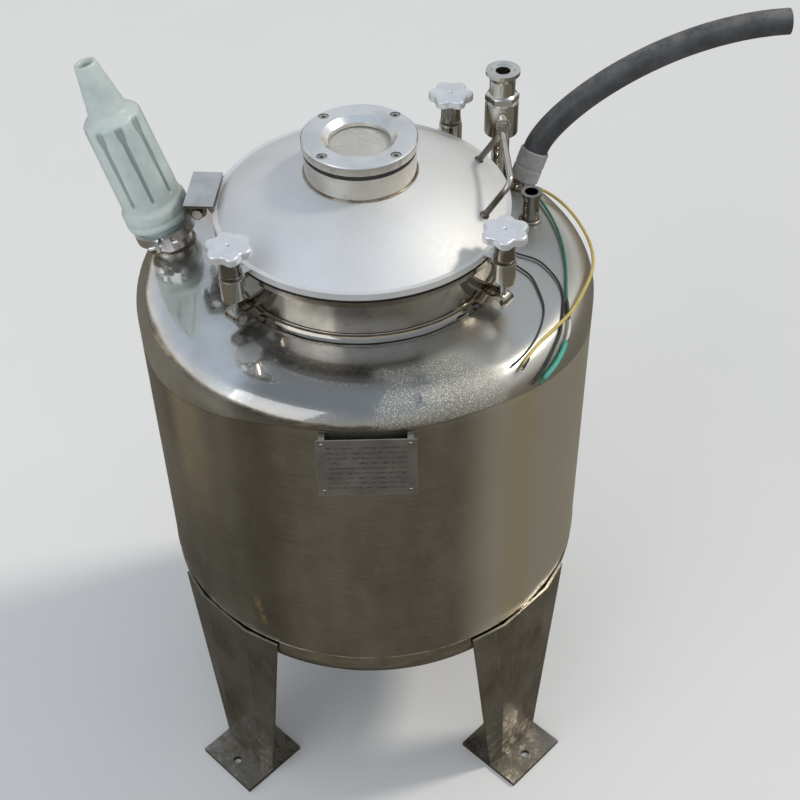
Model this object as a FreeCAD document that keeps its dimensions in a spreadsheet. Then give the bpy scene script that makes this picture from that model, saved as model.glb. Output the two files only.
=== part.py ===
"""Insulated stainless vessel for liquid nitrogen: a double-walled tank on four legs.

Frame: origin on the tank's axis at floor level, +Z up, the nameplate faces -Y.
Every size is in millimetres and lives in the sheet "Dim".
"""
import FreeCAD, Part
import math
import os
import Sketcher

V = FreeCAD.Vector
UP = V(0, 0, 1)

SIZES = {
    # outer tank
    "shell_radius": 335, "shell_wall": 3, "band_bottom": 409, "band_top": 858,
    "head_straight": 20, "knuckle": 48, "knuckle_rim": 291.2, "knuckle_top": 925.8, "crown_rise": 12.73,
    "bottom_straight": 15, "bottom_knuckle": 55, "bottom_rim": 294.2, "bottom_knuckle_end": 340.9,
    "bottom_low": 302.2, "bottom_dish": 1136.7, "head_dish": 3338,
    # inner tank
    "inner_radius": 302, "inner_wall": 3, "inner_top": 896,
    "inner_floor": 345, "inner_corner": 38, "inner_floor_corner": 50,
    # manway neck and cover
    "rim_level": 1000, "rim_radius": 210, "neck_radius": 197, "neck_wall": 3, "neck_foot": 894,
    "flange_thick": 8, "gasket_thick": 4, "cover_rim_thick": 10, "cover_skirt": 203,
    "cover_wall": 3, "cover_sphere": 370, "cover_crown": 1082.6, "sight_hole": 58,
    # sight glass
    "sight_radius": 80, "sight_bore": 43, "sight_seat": 1108, "sight_boss_radius": 78,
    "sight_gap": 8, "sight_thick": 13, "sight_pitch": 69.8, "sight_screw": 4, "sight_head": 6.5,
    # clamping stations
    "station_radius": 238, "sleeve_outer": 17, "sleeve_inner": 12, "sleeve_length": 34,
    "bolt_pivot": 955, "bolt_core": 5.05, "bolt_top": 1020, "bolt_eye": 11, "bolt_eye_width": 12,
    "pivot_pin": 4, "running_gap": 0.05, "ear_thick": 5, "ear_gap": 0.2,
    "knob_bore": 6, "knob_spigot": 11.5, "knob_shoulder": 15, "knob_level": 62, "knob_thick": 12,
    "knob_tip": 33, "knob_valley": 11, "washer_thick": 2,
    # cover hinge
    "hinge_radius": 229, "hinge_level": 1015, "hinge_pin": 4, "hinge_half": 42,
    "hinge_lug": 8, "hinge_lug_at": 14, "hinge_cheek": 6, "hinge_cheek_at": 28,
    "hinge_arm_reach": 16.7, "handle_rod": 4.5, "handle_bend": 16, "handle_foot": 7,
    # legs
    "leg_top_half": 108, "leg_foot_half": 58, "leg_wall": 4, "leg_fold": 0.27,
    "foot_thick": 8, "foot_radius": 305, "foot_half": 60, "anchor_hole": 7,
    # nameplate
    "plate_width": 132, "plate_height": 103, "plate_low": 789, "plate_wall": 1.5, "plate_stand": 10,
    # fittings
    "vent_pipe": 31.75, "vent_pipe_bore": 29, "vent_ferrule": 38.75, "vent_lean": 16,
    "valve_pipe": 13.5, "valve_pipe_bore": 10.5, "valve_radius": 25, "valve_low": 1014,
    "valve_high": 1074, "valve_ball": 17.5, "valve_port": 10, "valve_stem": 5,
    "ferrule_radius": 25.25, "ferrule_bore": 11,
    "stub_radius": 12.5, "stub_bore": 10, "stub_top": 978,
    "gland_radius": 22, "hose_radius": 19, "hose_bore": 15,
    "yellow_wire": 2.4, "yellow_lift": 9.8, "green_wire": 1.9, "green_lift": 4.4,
    "sensor_wire": 1.4, "sensor_lift": 3,
    "drain_radius": 12.5, "drain_bore": 10,
}

doc = FreeCAD.newDocument("nitrogen_vessel")
sheet = doc.addObject("Spreadsheet::Sheet", "Dim")
for row, (alias, size) in enumerate(SIZES.items(), start=1):
    sheet.set(f"A{row}", alias)
    sheet.set(f"B{row}", str(size))
    sheet.setAlias(f"B{row}", alias)
doc.recompute()

nodes = []


def dim(rule):
    """Value of a rule written with the sheet's aliases, such as 'Dim.shell_radius - 3'."""
    value = sheet.evalExpression(rule.replace("Dim.", ""))
    return float(getattr(value, "Value", value))


def bind(item, **rules):
    """Tie properties to rules; a double underscore stands for the dot in a property's path."""
    for name, rule in rules.items():
        item.setExpression(name.replace("__", "."), rule)
    return item


def keep(item, label):
    """Mark a finished object as a sub-part of the vessel."""
    item.Label = label
    nodes.append(item)
    return item


def cylinder(radius, height, low=None):
    """Round bar along Z; its foot stands on a level when one is given."""
    rod = doc.addObject("Part::Cylinder", "Rod")
    bind(rod, Radius=radius, Height=height)
    return bind(rod, Placement__Base__z=low) if low else rod


def cut(base, *tools):
    result = base
    for tool in tools:
        step = doc.addObject("Part::Cut", "Cut")
        step.Base = result
        step.Tool = tool
        result = step
    return result


def fuse(*items):
    joined = doc.addObject("Part::MultiFuse", "Joined")
    joined.Shapes = list(items)
    return joined


def tube(outer, inner, height, low=None):
    return cut(cylinder(outer, height, low), cylinder(inner, height, low))


def box(size, centre_x, centre_y, low):
    """Block centred on a point in plan, standing on a level; plain numbers in its own frame."""
    block = doc.addObject("Part::Box", "Block")
    block.Length, block.Width, block.Height = size
    block.Placement.Base = V(centre_x - size[0] / 2, centre_y - size[1] / 2, low)
    return block


def solid(shape, name="Shape"):
    holder = doc.addObject("Part::Feature", name)
    holder.Shape = shape
    return holder


def plane_of(body, role):
    return next(item for item in body.Origin.OriginFeatures if item.Role == role)


def arc_centre(start, end, radius):
    """Centre of an arc of a signed radius: positive turns left on the way from start to end."""
    chord = end - start
    half = chord.Length / 2
    rise = math.sqrt(max(radius * radius - half * half, 0))
    left = V(-chord.y, chord.x, 0).normalize()
    return (start + end) * 0.5 + left * (rise if radius > 0 else -rise)


def outline(sketch, corners):
    """Closed loop through (x, y) rules; a third rule makes the edge to that corner an arc."""
    spots = [V(dim(c[0]), dim(c[1]), 0) for c in corners]
    ends = []
    for i, corner in enumerate(corners):
        start, end = spots[i - 1], spots[i]
        if len(corner) == 3:
            radius = dim(corner[2])
            centre = arc_centre(start, end, radius)
            a0 = math.atan2(start.y - centre.y, start.x - centre.x)
            a1 = math.atan2(end.y - centre.y, end.x - centre.x)
            ring = Part.Circle(centre, UP, abs(radius))
            if radius > 0:
                edge = sketch.addGeometry(Part.ArcOfCircle(ring, a0, a1))
                ends.append((edge, 1, 2))
            else:
                edge = sketch.addGeometry(Part.ArcOfCircle(ring, a1, a0))
                ends.append((edge, 2, 1))
        else:
            edge = sketch.addGeometry(Part.LineSegment(start, end))
            ends.append((edge, 1, 2))
    for i, (edge, _, tip) in enumerate(ends):
        following, root, _ = ends[(i + 1) % len(ends)]
        sketch.addConstraint(Sketcher.Constraint("Coincident", edge, tip, following, root))
    for i, (edge, _, tip) in enumerate(ends):
        for axis, direction in ((0, "DistanceX"), (1, "DistanceY")):
            where = spots[i][axis]
            if abs(where) < 1e-9:
                line = -2 if axis == 0 else -1
                sketch.addConstraint(Sketcher.Constraint("PointOnObject", edge, tip, line))
                continue
            number = sketch.addConstraint(Sketcher.Constraint(direction, -1, 1, edge, tip, where))
            if "Dim" in corners[i][axis]:
                sketch.setExpression(f"Constraints[{number}]", corners[i][axis])


def spun(name, corners):
    """Body turned about its Z axis from an outline of (radius, height) rules."""
    body = doc.addObject("PartDesign::Body", name)
    sketch = body.newObject("Sketcher::SketchObject", name + "_outline")
    sketch.AttachmentSupport = [(plane_of(body, "XZ_Plane"), "")]
    sketch.MapMode = "FlatFace"
    outline(sketch, corners)
    turn = body.newObject("PartDesign::Revolution", name + "_turn")
    turn.Profile = sketch
    turn.ReferenceAxis = (sketch, ["V_Axis"])
    turn.Angle = 360
    sketch.Visibility = False
    return body


def around(angle, radius, level=0.0):
    """Placement at an azimuth and radius, with its local X pointing outward."""
    place = V(radius * math.cos(math.radians(angle)), radius * math.sin(math.radians(angle)), level)
    return FreeCAD.Placement(place, FreeCAD.Rotation(UP, angle))


def moved(item, placement):
    """Copy of a finished shape at a placement."""
    doc.recompute()
    shape = item.Shape.copy()
    shape.Placement = placement.multiply(shape.Placement)
    return shape


def bent_rod(points, radius, bend, bore=0.0):
    """Round bar, or a tube, along a chain of points with rounded corners."""
    places = [V(*p) for p in points]
    edges = []
    start = places[0]
    for before, corner, after in zip(places, places[1:], places[2:]):
        into = (corner - before).normalize()
        away = (after - corner).normalize()
        turn = into.getAngle(away)
        trim = bend * math.tan(turn / 2)
        first = corner - into * trim
        last = corner + away * trim
        inward = (away - into).normalize()
        centre = corner + inward * (bend / math.cos(turn / 2))
        middle = centre - inward * bend
        edges.append(Part.makeLine(start, first))
        edges.append(Part.Arc(first, middle, last).toShape())
        start = last
    edges.append(Part.makeLine(start, places[-1]))
    path = Part.Wire(edges)
    return swept(path, places[0], places[1] - places[0], radius, bore)


def swept(path, start, along, radius, bore=0.0):
    ring = Part.Wire(Part.makeCircle(radius, start, along))
    bar = path.makePipeShell([ring], True, True)
    if not bore:
        return bar
    hole = Part.Wire(Part.makeCircle(bore, start, along))
    return bar.cut(path.makePipeShell([hole], True, True))


def curve_rod(points, radius, bore=0.0):
    """Round flexible piece along a smooth curve through its points."""
    spline = Part.BSplineCurve()
    spline.interpolate([V(*p) for p in points])
    path = Part.Wire(spline.toShape())
    along = spline.tangent(spline.FirstParameter)[0]
    return swept(path, V(*points[0]), along, radius, bore)


# ---------------------------------------------------------------- fittings' places

STATIONS = {"front_left": -136, "front_right": -37, "back_right": 56}
HINGE_AT = 175
VENT_FOOT = V(-279, 45, 908)
VENT_AZIMUTH = 171
VALVE_AT = V(208, 184, 0)
STUB_AT = V(247, 75, 0)
GLAND_FOOT = V(240, 165, 925)
GLAND_AXIS = V(23, 15, 62)
HOSE_SHOULDER = V(440, 215, 1160)
HOSE_END = V(625, 222, 1163)

vent_frame = FreeCAD.Placement(
    VENT_FOOT,
    FreeCAD.Rotation(UP, VENT_AZIMUTH).multiply(FreeCAD.Rotation(V(0, 1, 0), dim("Dim.vent_lean"))),
)
gland_frame = FreeCAD.Placement(GLAND_FOOT, FreeCAD.Rotation(UP, GLAND_AXIS))


# ---------------------------------------------------------------- tank shells

def nozzle_space():
    """Everything that passes through the heads: the neck and each nozzle, as solid rods."""
    rods = [cylinder("Dim.neck_radius", "200", "850")]
    valve = cylinder("Dim.valve_pipe", "200")
    valve.Placement.Base = VALVE_AT + V(0, 0, 850)
    rods.append(valve)
    vent = cylinder("Dim.vent_pipe", "200")
    vent.Placement = vent_frame.multiply(FreeCAD.Placement(V(0, 0, -70), FreeCAD.Rotation()))
    return fuse(*rods, vent)


openings = nozzle_space()
outlet = cylinder("Dim.drain_radius", "200", "250")

keep(tube("Dim.shell_radius", "Dim.shell_radius - Dim.shell_wall",
          "Dim.band_top - Dim.band_bottom", "Dim.band_bottom"), "outer_shell")


def head_outline(lift):
    """Dished top head as a skin; lift moves its inner side by the wall."""
    outer = "Dim.shell_radius"
    inner = "Dim.shell_radius - Dim.shell_wall"
    spring = "Dim.band_top + Dim.head_straight"
    return [
        (outer, "Dim.band_top"),
        (outer, spring),
        ("Dim.knuckle_rim", "Dim.knuckle_top", "Dim.knuckle"),
        ("0", "Dim.knuckle_top + Dim.crown_rise", "Dim.head_dish"),
        ("0", f"Dim.knuckle_top + Dim.crown_rise - {lift}"),
        (f"Dim.knuckle_rim * (1 - {lift} / Dim.head_dish)", f"Dim.knuckle_top - {lift}",
         f"-(Dim.head_dish - {lift})"),
        (inner, spring, f"-(Dim.knuckle - {lift})"),
        (inner, "Dim.band_top"),
    ]


keep(cut(spun("top_head_form", head_outline(dim("Dim.shell_wall"))), openings), "top_head")

keep(cut(spun("bottom_head_form", [
    ("Dim.shell_radius", "Dim.band_bottom"),
    ("Dim.shell_radius - Dim.shell_wall", "Dim.band_bottom"),
    ("Dim.shell_radius - Dim.shell_wall", "Dim.band_bottom - Dim.bottom_straight"),
    ("Dim.bottom_rim * (1 - Dim.shell_wall / Dim.bottom_dish)", "Dim.bottom_knuckle_end + 2.9",
     "-(Dim.bottom_knuckle - Dim.shell_wall)"),
    ("0", "Dim.bottom_low + Dim.shell_wall", "-(Dim.bottom_dish - Dim.shell_wall)"),
    ("0", "Dim.bottom_low"),
    ("Dim.bottom_rim", "Dim.bottom_knuckle_end", "Dim.bottom_dish"),
    ("Dim.shell_radius", "Dim.band_bottom - Dim.bottom_straight", "Dim.bottom_knuckle"),
]), outlet), "bottom_head")


def inner_outline(offset):
    """Half section of the inner tank's wall, at an offset inside its outer face."""
    side = f"Dim.inner_radius - {offset}"
    return [
        ("0", f"Dim.inner_floor + {offset}"),
        (side + " - Dim.inner_floor_corner + " + str(offset), f"Dim.inner_floor + {offset}"),
        (side, f"Dim.inner_floor + Dim.inner_floor_corner", f"Dim.inner_floor_corner - {offset}"),
        (side, "Dim.inner_top - Dim.inner_corner"),
        (side + " - Dim.inner_corner + " + str(offset), f"Dim.inner_top - {offset}",
         f"Dim.inner_corner - {offset}"),
        ("0", f"Dim.inner_top - {offset}"),
    ]


inner_outside = spun("inner_outside", inner_outline(0))
inner_inside = spun("inner_inside", inner_outline(dim("Dim.inner_wall")))
keep(cut(inner_outside, inner_inside, openings, outlet), "inner_vessel")

jacket_form = spun("jacket_form", [
    ("0", "Dim.bottom_low + 4"),
    ("Dim.bottom_rim - 4", "Dim.bottom_knuckle_end + 7"),
    ("Dim.shell_radius - 4", "Dim.band_bottom"),
    ("Dim.shell_radius - 4", "Dim.band_top + Dim.head_straight"),
    ("Dim.knuckle_rim", "Dim.knuckle_top - 6"),
    ("0", "Dim.knuckle_top - 6"),
])
inner_body = spun("inner_body", inner_outline(0))
keep(cut(jacket_form, inner_body, openings, outlet), "insulation")

# ---------------------------------------------------------------- manway neck

keep(spun("manway_neck", [
    ("Dim.neck_radius - Dim.neck_wall", "Dim.neck_foot"),
    ("Dim.neck_radius", "Dim.neck_foot"),
    ("Dim.neck_radius", "Dim.rim_level"),
    ("Dim.rim_radius", "Dim.rim_level"),
    ("Dim.rim_radius", "Dim.rim_level + Dim.flange_thick"),
    ("Dim.neck_radius - Dim.neck_wall", "Dim.rim_level + Dim.flange_thick"),
]), "manway_neck")

keep(tube("Dim.rim_radius - 2", "Dim.neck_radius - 1", "Dim.gasket_thick",
          "Dim.rim_level + Dim.flange_thick"), "manway_gasket")

# ---------------------------------------------------------------- cover

cover_low = "Dim.rim_level + Dim.flange_thick + Dim.gasket_thick"
cover_high = cover_low + " + Dim.cover_rim_thick"
sphere_centre = "Dim.cover_crown - Dim.cover_sphere"


def dome_level(radius, inset=0.0):
    """Height of the cover's dome above a radius."""
    ball = dim("Dim.cover_sphere") - inset
    return dim(sphere_centre) + math.sqrt(ball * ball - radius * radius)


hole_top = f"{sphere_centre} + sqrt(Dim.cover_sphere^2 - Dim.sight_hole^2)"
hole_low = f"{sphere_centre} + sqrt((Dim.cover_sphere - Dim.cover_wall)^2 - Dim.sight_hole^2)"
keep(spun("cover_dome", [
    ("Dim.cover_skirt - 6", cover_low),
    ("Dim.rim_radius", cover_low),
    ("Dim.rim_radius", cover_high),
    ("Dim.cover_skirt", cover_high),
    ("Dim.sight_hole", hole_top, "Dim.cover_sphere"),
    ("Dim.sight_hole", hole_low),
    ("Dim.cover_skirt - 6", cover_high + " - 0.3", "-(Dim.cover_sphere - Dim.cover_wall)"),
]), "cover_dome")

boss_foot = dome_level(dim("Dim.sight_boss_radius"))
screw_tools = []
for quarter in range(4):
    hole = cylinder("Dim.sight_screw", "30", "Dim.sight_seat - 14")
    bind(hole, Placement__Base__x=f"Dim.sight_pitch * cos({45 + 90 * quarter})",
         Placement__Base__y=f"Dim.sight_pitch * sin({45 + 90 * quarter})")
    screw_tools.append(hole)
screw_space = fuse(*screw_tools)

crown = doc.addObject("Part::Sphere", "Crown")
bind(crown, Radius="Dim.cover_sphere", Placement__Base__z=sphere_centre)
rim_space = fuse(cylinder("Dim.rim_radius", "Dim.cover_rim_thick", cover_low), crown)

keep(cut(spun("sight_boss_form", [
    ("Dim.sight_hole - 12", f"{boss_foot - 4}"),
    ("Dim.sight_boss_radius", f"{boss_foot}"),
    ("Dim.sight_boss_radius", "Dim.sight_seat"),
    ("Dim.sight_hole + 2", "Dim.sight_seat"),
    ("Dim.sight_hole + 2", "Dim.sight_seat - 4"),
    ("Dim.sight_hole - 12", "Dim.sight_seat - 4"),
]), screw_space, crown), "sight_boss")
gap_ring = tube("Dim.sight_boss_radius - 1", "Dim.sight_hole + 2", "Dim.sight_gap", "Dim.sight_seat")
lower_seal = tube("Dim.sight_hole + 1", "Dim.sight_bore + 3", "2", "Dim.sight_seat - 4")
upper_seal = tube("Dim.sight_hole + 1", "Dim.sight_bore + 3", "2", "Dim.sight_seat + 6")
seals = doc.addObject("Part::Compound", "Seals")
seals.Links = [lower_seal, upper_seal, cut(gap_ring, screw_space)]
keep(seals, "sight_gaskets")
keep(cylinder("Dim.sight_hole + 1", "8", "Dim.sight_seat - 2"), "sight_glass")

flange_low = "Dim.sight_seat + Dim.sight_gap"


def sight_flange():
    """Clamping flange with four counterbored screw holes."""
    body = spun("sight_flange_form", [
        ("Dim.sight_bore", flange_low),
        ("Dim.sight_radius", flange_low),
        ("Dim.sight_radius", flange_low + " + Dim.sight_thick - 1.5"),
        ("Dim.sight_radius - 1.5", flange_low + " + Dim.sight_thick"),
        ("Dim.sight_bore + 9", flange_low + " + Dim.sight_thick"),
        ("Dim.sight_bore", flange_low + " + Dim.sight_thick - 7"),
    ])
    tools = []
    for quarter in range(4):
        across = f"Dim.sight_pitch * cos({45 + 90 * quarter})"
        along = f"Dim.sight_pitch * sin({45 + 90 * quarter})"
        hole = cylinder("Dim.sight_screw + 0.3", "Dim.sight_thick", flange_low)
        bind(hole, Placement__Base__x=across, Placement__Base__y=along)
        seat = cylinder("Dim.sight_head + 1", "Dim.sight_thick", flange_low + " + 6")
        bind(seat, Placement__Base__x=across, Placement__Base__y=along)
        tools += [hole, seat]
    return cut(body, fuse(*tools))


keep(sight_flange(), "sight_flange")


def prism(flats, height, low):
    """Hexagonal bar by its width across flats, standing on a level."""
    bar = doc.addObject("Part::Prism", "Prism")
    bar.Polygon = 6
    bar.Circumradius = flats / math.sqrt(3)
    bar.Height = height
    bar.Placement.Base = V(0, 0, low)
    return bar


def group(label, item, placements):
    """One node of identical separate pieces."""
    copies = [moved(item, place) for place in placements]
    return keep(solid(Part.makeCompound(copies)), label)


def group_off(label, item, placements, space):
    """A group trimmed back to the surface it is welded to."""
    doc.recompute()
    pieces = []
    for place in placements:
        pieces.extend(moved(item, place).cut(space.Shape).Solids)
    return keep(solid(Part.makeCompound(pieces)), label)


def placed(label, item, placement):
    """A finished piece built in its own frame and set at its place in the vessel."""
    doc.recompute()
    holder = solid(item.Shape.copy())
    holder.Placement = placement.multiply(holder.Placement)
    return keep(holder, label)


def sight_screw():
    """Socket-head screw along Z at the origin's axis, at its working height."""
    shank = cylinder("Dim.sight_screw", "Dim.sight_gap + 18", "Dim.sight_seat - 12")
    head = cylinder("Dim.sight_head", "6", flange_low + " + 6")
    socket = prism(6, 4, dim(flange_low) + 8.5)
    return cut(fuse(shank, head), socket)


quarters = [
    FreeCAD.Placement(V(dim("Dim.sight_pitch") * math.cos(math.radians(a)),
                        dim("Dim.sight_pitch") * math.sin(math.radians(a)), 0), FreeCAD.Rotation())
    for a in (45, 135, 225, 315)
]
group("sight_screws", sight_screw(), quarters)

# ---------------------------------------------------------------- clamping stations

station_places = {
    name: around(angle, dim("Dim.station_radius")) for name, angle in STATIONS.items()
}
rim_level = dim("Dim.rim_level")
rim_top = dim(cover_high)


def sleeve():
    """Closed guide sleeve with the web that welds it to the cover's rim."""
    pipe = tube("Dim.sleeve_outer", "Dim.sleeve_inner", "Dim.sleeve_length",
                cover_high + " - Dim.sleeve_length")
    reach = dim("Dim.station_radius - Dim.rim_radius")
    web = box((reach - 15, 14, 10), -(reach + 17) / 2, 0, rim_top - 10)
    return fuse(pipe, web)


group_off("cover_sleeves", sleeve(), station_places.values(), rim_space)


def star_knob():
    """Six-lobed knob with a hub; its spigot enters the sleeve and its bore takes the bolt."""
    shoulder = cover_high + " + Dim.washer_thick + 2 * Dim.running_gap"
    disc_low = "Dim.rim_level + Dim.knob_level"
    body = spun("knob_form", [
        ("Dim.knob_bore", "Dim.rim_level + 8"),
        ("Dim.knob_spigot", "Dim.rim_level + 8"),
        ("Dim.knob_spigot", shoulder),
        ("Dim.knob_shoulder", shoulder),
        ("Dim.knob_shoulder", "Dim.rim_level + 44"),
        ("Dim.knob_shoulder + 3", disc_low + " + 1"),
        ("0", disc_low + " + 1"),
        ("0", "Dim.rim_level + 34"),
        ("Dim.knob_bore", "Dim.rim_level + 30"),
    ])
    face = body.newObject("Sketcher::SketchObject", "knob_disc")
    face.AttachmentSupport = [(plane_of(body, "XY_Plane"), "")]
    face.MapMode = "FlatFace"
    face.setExpression("AttachmentOffset.Base.z", disc_low)
    rim = face.addGeometry(Part.Circle(V(), UP, dim("Dim.knob_tip")))
    face.addConstraint(Sketcher.Constraint("Coincident", rim, 3, -1, 1))
    size = face.addConstraint(Sketcher.Constraint("Radius", rim, dim("Dim.knob_tip")))
    face.setExpression(f"Constraints[{size}]", "Dim.knob_tip")
    disc = body.newObject("PartDesign::Pad", "knob_disc_pad")
    disc.Profile = face
    disc.setExpression("Length", "Dim.knob_thick")
    doc.recompute()
    valley = body.newObject("Sketcher::SketchObject", "knob_valley")
    valley.AttachmentSupport = [(plane_of(body, "XY_Plane"), "")]
    valley.MapMode = "FlatFace"
    valley.setExpression("AttachmentOffset.Base.z", disc_low)
    centre = dim("Dim.knob_tip") + 3.5
    ring = valley.addGeometry(Part.Circle(V(centre, 0, 0), UP, dim("Dim.knob_valley")))
    valley.addConstraint(Sketcher.Constraint("PointOnObject", ring, 3, -1))
    reach = valley.addConstraint(Sketcher.Constraint("DistanceX", -1, 1, ring, 3, centre))
    valley.setExpression(f"Constraints[{reach}]", "Dim.knob_tip + 3.5")
    width = valley.addConstraint(Sketcher.Constraint("Radius", ring, dim("Dim.knob_valley")))
    valley.setExpression(f"Constraints[{width}]", "Dim.knob_valley")
    notch = body.newObject("PartDesign::Pocket", "knob_notch")
    notch.Profile = valley
    notch.Reversed = True
    notch.setExpression("Length", "Dim.knob_thick")
    lobes = body.newObject("PartDesign::PolarPattern", "knob_lobes")
    lobes.Originals = [notch]
    lobes.Axis = (valley, ["N_Axis"])
    lobes.Angle = 360
    lobes.Occurrences = 6
    body.Tip = lobes
    doc.recompute()
    round_over = body.newObject("PartDesign::Fillet", "knob_round")
    cusps = []
    for number, edge in enumerate(lobes.Shape.Edges, start=1):
        start, end = edge.Vertexes[0].Point, edge.Vertexes[-1].Point
        upright = math.hypot(start.x - end.x, start.y - end.y) < 1e-6 and abs(start.z - end.z) > 1
        if upright and math.hypot(start.x, start.y) > 30:
            cusps.append(f"Edge{number}")
    round_over.Base = (lobes, cusps)
    round_over.Radius = 4
    body.Tip = round_over
    doc.recompute()
    soft = body.newObject("PartDesign::Chamfer", "knob_edge")
    top = dim(disc_low) + dim("Dim.knob_thick")
    crown = []
    for number, edge in enumerate(round_over.Shape.Edges, start=1):
        if all(abs(vertex.Z - top) < 1e-6 for vertex in edge.Vertexes):
            crown.append(f"Edge{number}")
    soft.Base = (round_over, crown)
    soft.Size = 1.2
    body.Tip = soft
    return body


def swing_bolt():
    """Eye bolt with its pivot at the origin, eye axis along Y, core diameter of its thread."""
    eye = cylinder("Dim.bolt_eye", "Dim.bolt_eye_width")
    eye.Placement = FreeCAD.Placement(V(0, dim("Dim.bolt_eye_width") / 2, 0),
                                      FreeCAD.Rotation(V(1, 0, 0), 90))
    shank = cylinder("Dim.bolt_core", "Dim.bolt_top - Dim.bolt_pivot")
    hole = cylinder("Dim.pivot_pin + Dim.running_gap", "Dim.bolt_eye_width")
    hole.Placement = eye.Placement
    return cut(fuse(eye, shank), hole)


def upright_disc(radius, thick, near):
    """Short round bar along Y, starting at a distance from the X-Z plane."""
    disc = cylinder(radius, str(thick))
    disc.Placement = FreeCAD.Placement(V(0, near + thick, 0), FreeCAD.Rotation(V(1, 0, 0), 90))
    return disc


def ear_pair():
    """Two ears that carry one swing bolt's pivot pin, origin at the pin."""
    inner = dim("Dim.bolt_eye_width") / 2 + dim("Dim.ear_gap")
    thick = dim("Dim.ear_thick")
    reach = dim("Dim.station_radius - Dim.neck_radius") + 2
    plates = []
    for near in (inner, -inner - thick):
        plates.append(upright_disc("Dim.bolt_eye", thick, near))
        plates.append(box((reach, thick, 18), -reach / 2, near + thick / 2, -11))
    hole = upright_disc("Dim.pivot_pin", 60, -30)
    return cut(fuse(*plates), hole)


def pivot_pin():
    """Pin with a head and a nut outside the ears."""
    face = dim("Dim.bolt_eye_width") / 2 + dim("Dim.ear_gap + Dim.ear_thick")
    rod = upright_disc("Dim.pivot_pin", 2 * face + 8, -face - 4)
    head = upright_disc("Dim.pivot_pin + 3", 3, face)
    nut = prism(13, 4, 0)
    nut.Placement = FreeCAD.Placement(V(0, -face, 0), FreeCAD.Rotation(V(1, 0, 0), 90))
    return fuse(rod, head, nut)


knob = star_knob()
washer = tube("Dim.sleeve_outer - 0.5", "Dim.knob_spigot + Dim.running_gap", "Dim.washer_thick",
              cover_high + " + Dim.running_gap")
bolt = swing_bolt()
pivot_places = {
    name: around(angle, dim("Dim.station_radius"), dim("Dim.bolt_pivot"))
    for name, angle in STATIONS.items()
}
for name in STATIONS:
    placed("star_knob_" + name, knob, station_places[name])
    placed("knob_washer_" + name, washer, station_places[name])
    placed("swing_bolt_" + name, bolt, pivot_places[name])
neck_space = cylinder("Dim.neck_radius", "200", "850")
group_off("clamp_ears", ear_pair(), pivot_places.values(), neck_space)
group("pivot_pins", pivot_pin(), pivot_places.values())

# ---------------------------------------------------------------- cover hinge

hinge_frame = around(HINGE_AT, dim("Dim.hinge_radius"), dim("Dim.hinge_level"))


def hinge_plate(corners, thick, near):
    """Flat plate cut to a side outline of (x, z) corners, standing across the pin's axis."""
    points = [V(x, near, z) for x, z in corners]
    face = Part.Face(Part.makePolygon(points + points[:1]))
    return solid(face.extrude(V(0, thick, 0)))


def hinge_bracket():
    """Two lugs on the neck, below the flange, that hold the hinge pin."""
    thick = dim("Dim.hinge_lug")
    neck = -dim("Dim.hinge_radius - Dim.neck_radius") - 3
    side = [(neck, -45), (7.7, -9.2), (0, 0), (-12, -2), (-21, -19), (neck, -28)]
    parts = []
    for middle in (-dim("Dim.hinge_lug_at"), dim("Dim.hinge_lug_at")):
        parts.append(hinge_plate(side, thick, middle - thick / 2))
        parts.append(upright_disc("12", thick, middle - thick / 2))
    tie = box((4, 2 * dim("Dim.hinge_lug_at"), 14), neck + 6, 0, -42)
    return cut(fuse(*parts, tie), upright_disc("Dim.hinge_pin", 100, -50))


def hinge_arm():
    """Folded plate welded to the cover's rim, with two cheeks that ride on the pin."""
    half = dim("Dim.hinge_half")
    inner = -dim("Dim.hinge_radius") + 203.5
    rim_edge = -dim("Dim.hinge_radius - Dim.rim_radius")
    rim_above = rim_top - dim("Dim.hinge_level")
    edge = dim("Dim.hinge_arm_reach")
    roof = box((edge - inner, 2 * half, 4), (edge + inner) / 2, 0, 15)
    riser = box((rim_edge - inner - 0.5, 2 * half - 8, 15 - rim_above + 0.3),
                (inner + rim_edge - 0.5) / 2, 0, rim_above - 0.3)
    apron = box((3.5, 2 * half, 19), edge - 1.75, 0, 0)
    parts = [roof, riser, apron]
    for side in (-1, 1):
        parts.append(box((3.5, half - 20, 21), edge - 1.75, side * (half + 20) / 2, -20))
        thick = dim("Dim.hinge_cheek")
        near = side * dim("Dim.hinge_cheek_at") - thick / 2
        parts.append(upright_disc("12.5", thick, near))
        parts.append(box((26, thick, 15), 1, near + thick / 2, 0))
    hole = upright_disc("Dim.hinge_pin + Dim.running_gap", 100, -50)
    return cut(fuse(*parts), hole)


def hinge_pin():
    end = dim("Dim.hinge_cheek_at") + 8
    rod = upright_disc("Dim.hinge_pin", 2 * end, -end)
    heads = [upright_disc("Dim.hinge_pin + 3", 3, end - 3), upright_disc("Dim.hinge_pin + 3", 3, -end)]
    return fuse(rod, *heads)


group_off("hinge_bracket", hinge_bracket(), [hinge_frame], neck_space)
group_off("hinge_arm", hinge_arm(), [hinge_frame], rim_space)
placed("hinge_pin", hinge_pin(), hinge_frame)

handle_path = [(168, 76, 1033), (199, 57, 1093), (203, -64, 1090), (168, -62, 1036)]
handle_bar = bent_rod(handle_path, dim("Dim.handle_rod"), dim("Dim.handle_bend"))
handle_feet = [Part.makeSphere(dim("Dim.handle_foot"), V(*spot))
               for spot in (handle_path[0], handle_path[-1])]
handle = handle_bar.multiFuse(handle_feet).removeSplitter()
keep(solid(handle.cut(rim_space.Shape).Solids[0]), "lift_handle")

# ---------------------------------------------------------------- legs


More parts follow.
